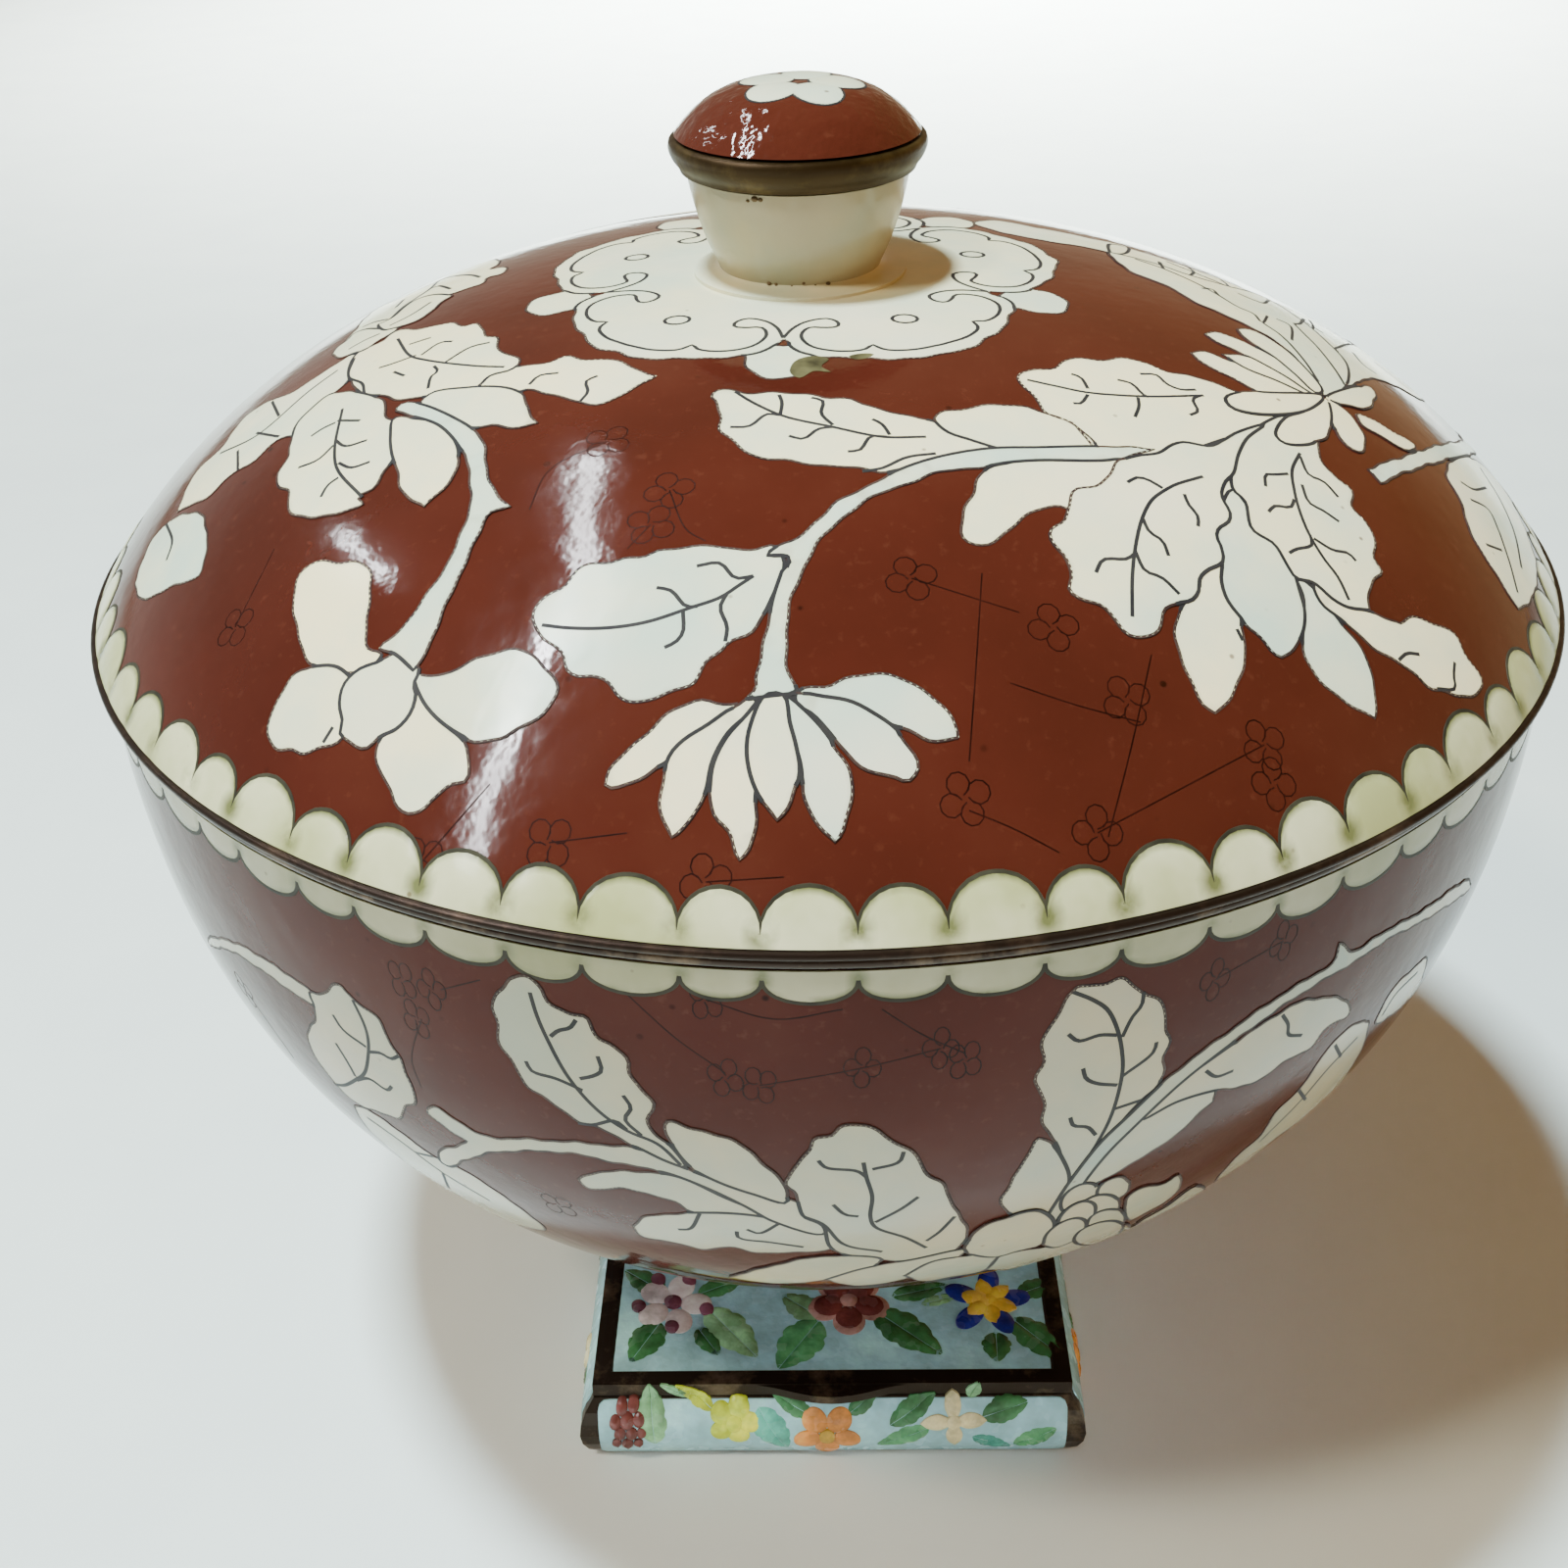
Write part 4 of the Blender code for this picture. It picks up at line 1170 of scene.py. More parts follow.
LID_CENTRE_SPRAY = (
    # large leaf on the left of the stem
    Cell(COOL, 2, (793, 558, 770, 562, 745, 560, 725, 556, 700, 560, 670, 563, 660, 567, 640, 569, 625, 575,
        603, 576, 588, 582, 580, 592, 574, 601, 560, 607, 550, 616, 545, 628, 546, 641, 552, 651, 564, 658,
        576, 668, 580, 685, 590, 692, 606, 690, 620, 696, 632, 709, 645, 717, 660, 716, 690, 704, 706, 697,
        713, 688, 722, 674, 736, 665, 746, 655, 765, 645, 777, 631, 790, 605, 800, 580), ((769, 588,
        755, 597, 735, 610, 706, 620, 660, 635, 620, 641, 580, 641, 553, 638), (711, 578, 735, 575,
        750, 590, 769, 588), (670, 600, 685, 603, 700, 619, 712, 619), (697, 624, 697, 645, 690, 655,
        678, 661), (742, 606, 735, 620, 742, 640, 740, 655))),
    # upper leaf
    Cell(CREAM, 1, (727, 405, 732, 398, 745, 397, 760, 402, 790, 401, 830, 403, 845, 407, 870, 408,
        880, 412, 900, 418, 920, 424, 937, 427, 953, 430, 975, 443, 1010, 452, 1030, 460, 1010, 470,
        965, 472, 925, 478, 900, 482, 880, 479, 860, 476, 830, 474, 800, 470, 780, 468, 765, 463, 752, 453,
        740, 445, 733, 437, 737, 425, 732, 414), ((750, 400, 770, 412, 800, 425, 850, 436, 900, 446,
        945, 446), (795, 403, 798, 411, 796, 424), (828, 406, 840, 410, 838, 422, 850, 434), (745, 436,
        765, 435, 782, 423, 796, 424), (805, 445, 820, 448, 835, 438, 850, 436), (890, 428, 900, 433,
        908, 444), (865, 461, 878, 459, 888, 446, 905, 446), (880, 481, 900, 478, 925, 467, 955, 463))),
    # bud leaf beside it
    Cell(CREAM, 2, (953, 427, 960, 420, 980, 420, 1000, 414, 1020, 413, 1045, 416, 1062, 421, 1095, 432,
        1105, 442, 1118, 454, 1118, 462, 1060, 460, 1025, 459, 990, 449, 965, 440)),
    # drooping petal
    Cell(CREAM, 1, (1140, 464, 1060, 466, 1028, 473, 1010, 477, 1000, 486, 995, 500, 985, 515, 982, 535,
        985, 550, 996, 557, 1010, 556, 1025, 545, 1040, 530, 1056, 522, 1078, 517, 1100, 520, 1140, 500),
        ((1030, 472, 1060, 470, 1132, 470),)),
    # stem
    Cell(COOL, 3, (762, 711, CORNER, 771, 702, 771, 690, 778, 668, 783, 640, 789, 610, 798, 583, CORNER,
        806, 573, 804, 568, 783, 567, CORNER, 791, 559, 810, 553, 820, 545, 835, 530, 851, 515, 880, 500,
        900, 488, 930, 475, 965, 465, 1010, 458, 1060, 457, 1120, 456, 1180, 459, CORNER, 1150, 466,
        1130, 470, 1060, 470, 1030, 472, 1000, 477, 960, 482, 930, 492, 900, 503, 880, 514, 860, 528,
        845, 542, 830, 562, 815, 590, 807, 615, 802, 650, 802, 675, 808, 692, 814, 705, CORNER, 795, 712),
        ((791, 559, 782, 567, 805, 569, 803, 580),)),
    # daisy petals
    Cell(CREAM, 4, (617, 802, CORNER, 622, 788, 635, 772, 656, 752, 670, 738, 685, 727, 703, 719, 718, 715,
        752, 719, 768, 714, 770, 722, 752, 727, 730, 738, 700, 758, 680, 778, 652, 796, 632, 802)),
    Cell(CREAM, 5, (771, 711, 745, 724, 722, 740, 697, 756, 683, 772, 675, 806, 677, 836, 686, 853, CORNER,
        697, 844, 708, 834, 720, 808, 727, 777, 743, 748, 770, 722)),
    Cell(CREAM, 6, (780, 710, 762, 730, 742, 752, 728, 780, 725, 808, 729, 830, 742, 846, 748, 866,
        755, 878, CORNER, 766, 866, 770, 842, 771, 812, 775, 780, 782, 720)),
    Cell(COOL, 4, (813, 707, 826, 703, 845, 700, 862, 692, 885, 689, 918, 692, 945, 706, 962, 722, 975, 742,
        978, 752, CORNER, 955, 756, 930, 748, 905, 738, 880, 728, 840, 718, 815, 716)),
    Cell(COOL, 5, (812, 708, 840, 711, 868, 716, 893, 729, 915, 745, 928, 765, 936, 785, 926, 798, 916, 794,
        893, 790, 868, 772, 850, 752, 830, 730, 812, 718)),
    Cell(COOL, 6, (800, 709, 820, 724, 840, 745, 856, 768, 868, 790, 867, 818, 862, 845, 852, 861, CORNER,
        840, 846, 828, 830, 820, 808, 817, 780, 805, 740)),
    Cell(CREAM, 7, (781, 710, 766, 740, 762, 765, 766, 792, 776, 815, 793, 836, CORNER, 808, 815, 816, 788,
        812, 760, 806, 738, 800, 710), ((763, 714, 785, 711, 812, 708),)),
)

LID_RIGHT_SPRAY = (
    # top leaf
    Cell(CREAM, 2, (1042, 392, 1040, 383, 1052, 378, 1075, 376, 1085, 370, 1097, 366, 1120, 368, 1145, 366,
        1165, 370, 1190, 379, 1215, 384, 1240, 392, 1270, 402, 1310, 410, 1300, 440, 1258, 446, 1182, 468,
        1118, 460, 1105, 443, 1095, 432, 1075, 425, 1063, 420, 1059, 408, 1050, 399), ((1048, 388,
        1080, 395, 1110, 401, 1170, 405, 1228, 404), (1093, 382, 1103, 386, 1110, 397), (1095, 412,
        1103, 412, 1110, 403), (1140, 388, 1155, 392, 1165, 402, 1172, 406), (1158, 426, 1162, 415,
        1161, 406), (1163, 382, 1180, 383, 1190, 392, 1205, 398, 1220, 398), (1214, 424, 1222, 420,
        1217, 408, 1225, 404))),
    # large toothed leaf
    Cell(MILKY, 5, (1290, 434, 1262, 442, 1248, 450, 1235, 456, 1207, 452, 1195, 455, 1182, 463, 1160, 466,
        1140, 473, 1130, 487, 1118, 496, 1095, 503, 1090, 520, 1085, 531, 1073, 541, 1075, 555, 1088, 570,
        1092, 590, 1091, 601, 1105, 612, 1125, 618, 1140, 638, 1150, 647, 1165, 650, 1178, 646, 1185, 635,
        1190, 622, 1200, 616, 1215, 613, 1222, 605, 1224, 590, 1232, 582, 1247, 574, 1246, 560, 1241, 548,
        1243, 540, 1253, 533, 1255, 525, 1246, 506, 1250, 492, 1258, 484, 1263, 465, 1272, 448),
        ((1227, 487, 1200, 495, 1190, 500, 1175, 511, 1165, 530, 1158, 560, 1155, 590, 1155, 630),
        (1150, 493, 1160, 488, 1170, 490, 1186, 499), (1166, 530, 1172, 543, 1186, 553, 1192, 568),
        (1118, 585, 1125, 572, 1150, 571, 1158, 565), (1158, 563, 1168, 583, 1185, 590, 1203, 607),
        (1208, 505, 1212, 515, 1222, 528, 1222, 538))),
    # second leaf
    Cell(MILKY, 4, (1290, 432, 1272, 446, 1263, 465, 1256, 486, 1258, 500, 1270, 512, 1277, 540, 1300, 556,
        1313, 577, 1322, 590, 1340, 595, 1360, 612, 1375, 620, 1397, 623, CORNER, 1396, 602, 1400, 592,
        1410, 585, 1402, 570, 1401, 548, 1392, 532, 1380, 518, 1378, 500, 1365, 490, 1352, 476, 1344, 458,
        1345, 440, 1310, 425), ((1326, 463, 1318, 480, 1320, 500, 1325, 520, 1335, 545, 1350, 570,
        1365, 590, 1376, 613), (1326, 466, 1335, 485, 1350, 492, 1365, 508), (1328, 495, 1335, 513,
        1350, 522, 1366, 533), (1340, 550, 1360, 562, 1375, 565, 1383, 573), (1336, 546, 1338, 557,
        1322, 561, 1315, 565), (1320, 510, 1317, 518, 1300, 517, 1294, 523), (1314, 484, 1300, 485,
        1291, 485, 1291, 497))),
    # three petals below
    Cell(CREAM, 1, (1225, 596, 1205, 620, 1200, 642, 1204, 670, 1216, 698, 1230, 720, 1240, 727, CORNER,
        1252, 716, 1265, 695, 1270, 668, 1268, 650, 1264, 620, 1250, 590, 1250, 572, 1234, 573, 1222, 588),
        ((1262, 642, 1268, 654),)),
    Cell(MILKY, 2, (1243, 487, 1260, 478, 1268, 512, 1254, 530, 1243, 508)),
    Cell(COOL, 3, (1256, 500, 1241, 545, 1247, 575, 1246, 592, 1252, 612, 1270, 635, 1285, 650, 1300, 668,
        1308, 672, CORNER, 1322, 658, 1329, 645, 1331, 625, 1326, 605, 1318, 580, 1300, 550, 1275, 520)),
    Cell(COOL, 1, (1322, 588, 1330, 610, 1330, 668, 1340, 686, 1360, 706, 1385, 725, 1402, 732, CORNER,
        1404, 715, 1402, 698, 1395, 675, 1380, 650, 1362, 628, 1350, 610)),
    # slender leaf on the right
    Cell(CREAM, 2, (1340, 596, 1375, 618, 1400, 625, 1422, 634, 1430, 638, 1438, 630, 1452, 632, 1470, 640,
        1485, 648, 1493, 666, 1508, 685, 1512, 698, 1505, 708, 1490, 712, 1475, 705, 1460, 702, 1445, 690,
        1425, 675, 1405, 663, 1388, 650, 1368, 632, 1348, 616), ((1427, 674, 1435, 667, 1448, 668),
        (1484, 676, 1483, 690, 1484, 703, 1466, 703))),
    # needle petals of the chrysanthemum
    Cell(CREAM, 3, (1216, 361, CORNER, 1226, 359, 1245, 365, 1275, 376, 1310, 389, 1348, 404, 1345, 410,
        1300, 408, 1275, 396, 1250, 382, 1224, 369)),
    Cell(CREAM, 4, (1247, 362, CORNER, 1266, 363, 1300, 375, 1345, 401, 1345, 406, 1300, 388, 1270, 376)),
    Cell(CREAM, 5, (1228, 341, CORNER, 1240, 340, 1262, 347, 1290, 360, 1330, 385, 1349, 402, 1343, 404,
        1310, 384, 1275, 365, 1242, 350)),
    Cell(CREAM, 6, (1263, 337, CORNER, 1278, 338, 1300, 350, 1322, 367, 1349, 400, 1343, 402, 1320, 382,
        1298, 364, 1274, 349)),
    # ragged leaf along the back
    Cell(MILKY, 4, (1131, 258, CORNER, 1150, 262, 1180, 270, 1212, 281, 1250, 292, 1285, 302, 1320, 322,
        1352, 348, 1375, 375, 1372, 396, 1349, 404, 1322, 366, 1300, 348, 1272, 332, 1245, 320, 1220, 309,
        1200, 297, 1178, 287, 1155, 278, 1140, 268), ((1158, 265, 1187, 275, 1223, 291, 1243, 302,
        1263, 314, 1279, 321, 1288, 330, 1293, 323), (1183, 268, 1187, 275), (1226, 295, 1237, 296,
        1243, 302), (1263, 300, 1279, 307, 1290, 310, 1294, 307), (1288, 330, 1308, 344, 1330, 368,
        1345, 390), (1302, 326, 1317, 334, 1318, 348), (1320, 331, 1331, 342, 1344, 355, 1362, 378,
        1372, 394), (1330, 326, 1326, 331, 1320, 331))),
    Cell(MILKY, 1, (1131, 250, 1160, 256, 1200, 269, 1240, 283, 1280, 300, 1310, 313, 1335, 325, 1360, 340,
        1380, 353, 1400, 368, 1372, 366, 1340, 350, 1300, 330, 1250, 310, 1190, 285, 1140, 268),
        ((1190, 267, 1230, 283, 1270, 300), (1290, 308, 1320, 322, 1350, 340), (1212, 273, 1218, 278,
        1215, 281), (1246, 286, 1253, 292, 1249, 296), (1300, 309, 1306, 316, 1301, 320), (1336, 327,
        1340, 334, 1334, 338))),
    # broad leaf behind the blossom
    Cell(MILKY, 3, (1362, 356, CORNER, 1378, 352, 1402, 366, 1425, 382, 1446, 398, 1460, 413, CORNER,
        1442, 404, 1426, 395, 1408, 388, 1392, 387, 1380, 394, 1370, 392, 1366, 374), ((1364, 358,
        1368, 374, 1372, 394), (1380, 360, 1390, 372, 1404, 382), (1402, 370, 1420, 384, 1440, 400))),
    # ovals round the heart
    Cell(CREAM, 8, (1250, 407, 1262, 402, 1300, 402, 1350, 406, 1335, 419, 1300, 424, 1268, 421,
        1254, 415)),
    Cell(CREAM, 7, (1352, 408, 1330, 421, 1310, 428, 1301, 444, 1310, 453, 1336, 454, 1352, 446,
        1358, 428)),
    Cell(CREAM, 7, (1353, 406, 1380, 396, 1397, 396, 1403, 405, 1397, 416, 1380, 416, 1358, 410)),
    Cell(CREAM, 6, (1354, 410, 1360, 436, 1376, 457, 1388, 461, 1393, 450, 1378, 426, 1362, 412)),
    # twigs
    Cell(CREAM, 6, (1384, 424, 1398, 428, 1420, 441, 1444, 457, 1436, 461, 1412, 447, 1388, 433)),
    Cell(COOL, 5, (1395, 479, CORNER, 1430, 467, 1450, 460, 1482, 452, 1505, 452, 1508, 460, 1500, 464,
        1470, 471, 1440, 480, 1408, 493, CORNER)),
    # leaf at the right edge
    Cell(MILKY, 3, (1475, 484, 1480, 472, 1494, 466, 1508, 472, 1528, 492, 1546, 520, 1560, 552, 1568, 585,
        1562, 612, 1549, 622, CORNER, 1530, 592, 1510, 561, 1496, 532, 1489, 508), ((1490, 492, 1504, 500,
        1516, 498), (1500, 510, 1518, 520, 1530, 545), (1510, 478, 1530, 510, 1545, 545, 1552, 580),
        (1516, 556, 1532, 562), (1530, 545, 1540, 575, 1548, 605))),
    # band behind the medallion
    Cell(MILKY, 1, (993, 228, 1010, 225, 1060, 233, 1110, 243, 1152, 254, 1148, 259, 1100, 251, 1050, 243,
        1010, 234)),
)

LID_LEFT_SPRAY = (
    # upper leaf
    Cell(CREAM, 3, (392, 348, 405, 338, 430, 336, 450, 332, 462, 330, 475, 333, 487, 331, 497, 343,
        508, 345, 507, 357, 520, 362, 531, 368, 523, 377, 500, 384, 486, 396, 450, 402, 410, 408, 390, 404,
        370, 402, 356, 385, 362, 364), ((406, 346, 418, 363, 435, 368, 485, 374, 515, 375), (425, 363,
        400, 372, 387, 376), (418, 352, 440, 345), (430, 363, 450, 350, 462, 349), (455, 370, 480, 355,
        500, 350), (402, 380, 413, 384), (443, 374, 447, 379, 440, 385, 437, 397), (362, 366, 356, 385,
        370, 392, 372, 402))),
    # long leaf
    Cell(CREAM, 2, (482, 396, 490, 385, 520, 376, 560, 370, 580, 364, 595, 368, 625, 367, 650, 378,
        669, 384, CORNER, 645, 398, 620, 410, 605, 413, 590, 411, 575, 406, 540, 398, 520, 402), ((540, 393,
        550, 384, 570, 381), (610, 384, 598, 390, 600, 400, 592, 410))),
    # small leaf
    Cell(MILKY, 4, (478, 396, 500, 395, 520, 397, 533, 403, 538, 418, 549, 432, CORNER, 530, 437, 505, 434,
        482, 437, 460, 428, 430, 414, 440, 402)),
    # veined leaf
    Cell(MILKY, 5, (370, 402, 340, 402, 318, 418, 302, 436, 295, 465, 283, 488, 288, 498, 295, 502,
        295, 520, 315, 529, 328, 528, 350, 522, 371, 515, 366, 508, 380, 500, 390, 484, 403, 466, 400, 450,
        405, 432, 393, 424, 392, 411), ((350, 418, 342, 460, 345, 480, 370, 508), (345, 430, 368, 430),
        (343, 450, 352, 456, 375, 450), (346, 473, 358, 478, 378, 472), (346, 488, 335, 496, 328, 508),
        (341, 455, 325, 470, 305, 478), (343, 432, 330, 438, 318, 446))),
    # pointed petal
    Cell(CREAM, 6, (402, 428, 420, 428, 445, 432, 460, 444, 468, 460, 466, 478, 455, 497, 433, 518, CORNER,
        414, 506, 406, 482, 400, 462, 399, 445)),
    # stem
    Cell(COOL, 7, (404, 420, 415, 412, 432, 414, 465, 428, 486, 442, 495, 460, 500, 495, 510, 508, 522, 518,
        CORNER, 500, 523, 488, 548, 465, 596, 450, 632, 436, 662, 424, 686, CORNER, 404, 668, 388, 661,
        CORNER, 412, 640, 435, 610, 460, 570, 477, 530, 481, 490, 471, 460, 450, 436, 424, 426)),
    # long leaf towards the left edge
    Cell(MILKY, 2, (182, 522, CORNER, 190, 500, 206, 476, 226, 458, 250, 426, 275, 410, 300, 400, 340, 374,
        362, 362, 358, 385, 340, 402, 318, 420, 302, 443, 282, 450, 260, 470, 232, 488, 214, 506),
        ((225, 463, 262, 445, 315, 400, 345, 378), (243, 460, 243, 480), (262, 442, 285, 446), (285, 425,
        278, 410))),
    # leaves along the back edge
    Cell(MILKY, 4, (386, 332, 393, 329, 402, 324, 411, 316, 422, 308, 435, 303, 448, 301, 462, 302, CORNER,
        448, 311, 439, 319, 429, 326, 418, 331, 404, 335, 391, 337), ((398, 333, 420, 322, 440, 309),)),
    Cell(MILKY, 3, (340, 362, CORNER, 343, 357, 353, 349, 361, 341, 376, 336, 391, 336, 406, 334, 399, 341,
        385, 349, 372, 358, 359, 361, 345, 366), ((356, 357, 372, 348, 388, 341),)),
    Cell(MILKY, 1, (352, 350, 362, 338, 368, 330, 378, 320, 393, 311, 408, 305, 425, 297, 440, 290,
        460, 281, 480, 273, 508, 265, 509, 270, CORNER, 500, 275, 516, 273, 515, 278, 498, 283, CORNER,
        494, 288, 481, 293, 464, 299, 448, 304, 430, 312, 412, 322, 400, 330, 388, 339, 370, 346),
        ((399, 325, 412, 313, 424, 305, 439, 295, 448, 287, 464, 282, 481, 281, 490, 283), (439, 295,
        448, 292, 460, 295), (370, 334, 382, 329, 396, 326), (404, 314, 412, 306))),
    # blossom
    Cell(CREAM, 1, (300, 603, 308, 584, 325, 573, 350, 574, 366, 574, 378, 584, 378, 610, 373, 640,
        376, 660, 390, 668, 372, 684, 345, 686, 320, 678, 308, 662, 303, 640)),
    Cell(MILKY, 2, (345, 681, 318, 681, 298, 690, 290, 706, 276, 730, 273, 750, 281, 763, 296, 764,
        308, 770, 326, 764, 345, 756, 362, 740, 362, 700), ((340, 742, 330, 758),)),
    Cell(MILKY, 3, (424, 708, 405, 744, 390, 752, 384, 770, 388, 790, 400, 805, 405, 822, 418, 830,
        432, 828, 442, 815, 460, 800, 475, 796, 480, 776, 472, 755, 455, 740, 436, 715)),
    Cell(COOL, 4, (424, 690, 430, 712, 445, 732, 470, 750, 490, 757, 510, 755, 525, 746, 542, 736, 560, 722,
        570, 705, 565, 690, 552, 680, 541, 668, 528, 662, 510, 665, 490, 672, 470, 682, 450, 689)),
    Cell(COOL, 5, (392, 674, 366, 684, 351, 700, 347, 720, 350, 736, 348, 750, 360, 760, 375, 762, 388, 752,
        405, 744, 418, 730, 424, 714, 423, 698, 428, 684, 412, 664)),
    # motif at the left edge
    Cell(COOL, 1, (139, 592, 147, 570, 156, 550, 170, 535, 190, 524, 204, 524, 211, 540, 211, 556, 203, 588,
        180, 596, 158, 608, 142, 610), ((170, 535, 176, 552, 170, 572),)),
)

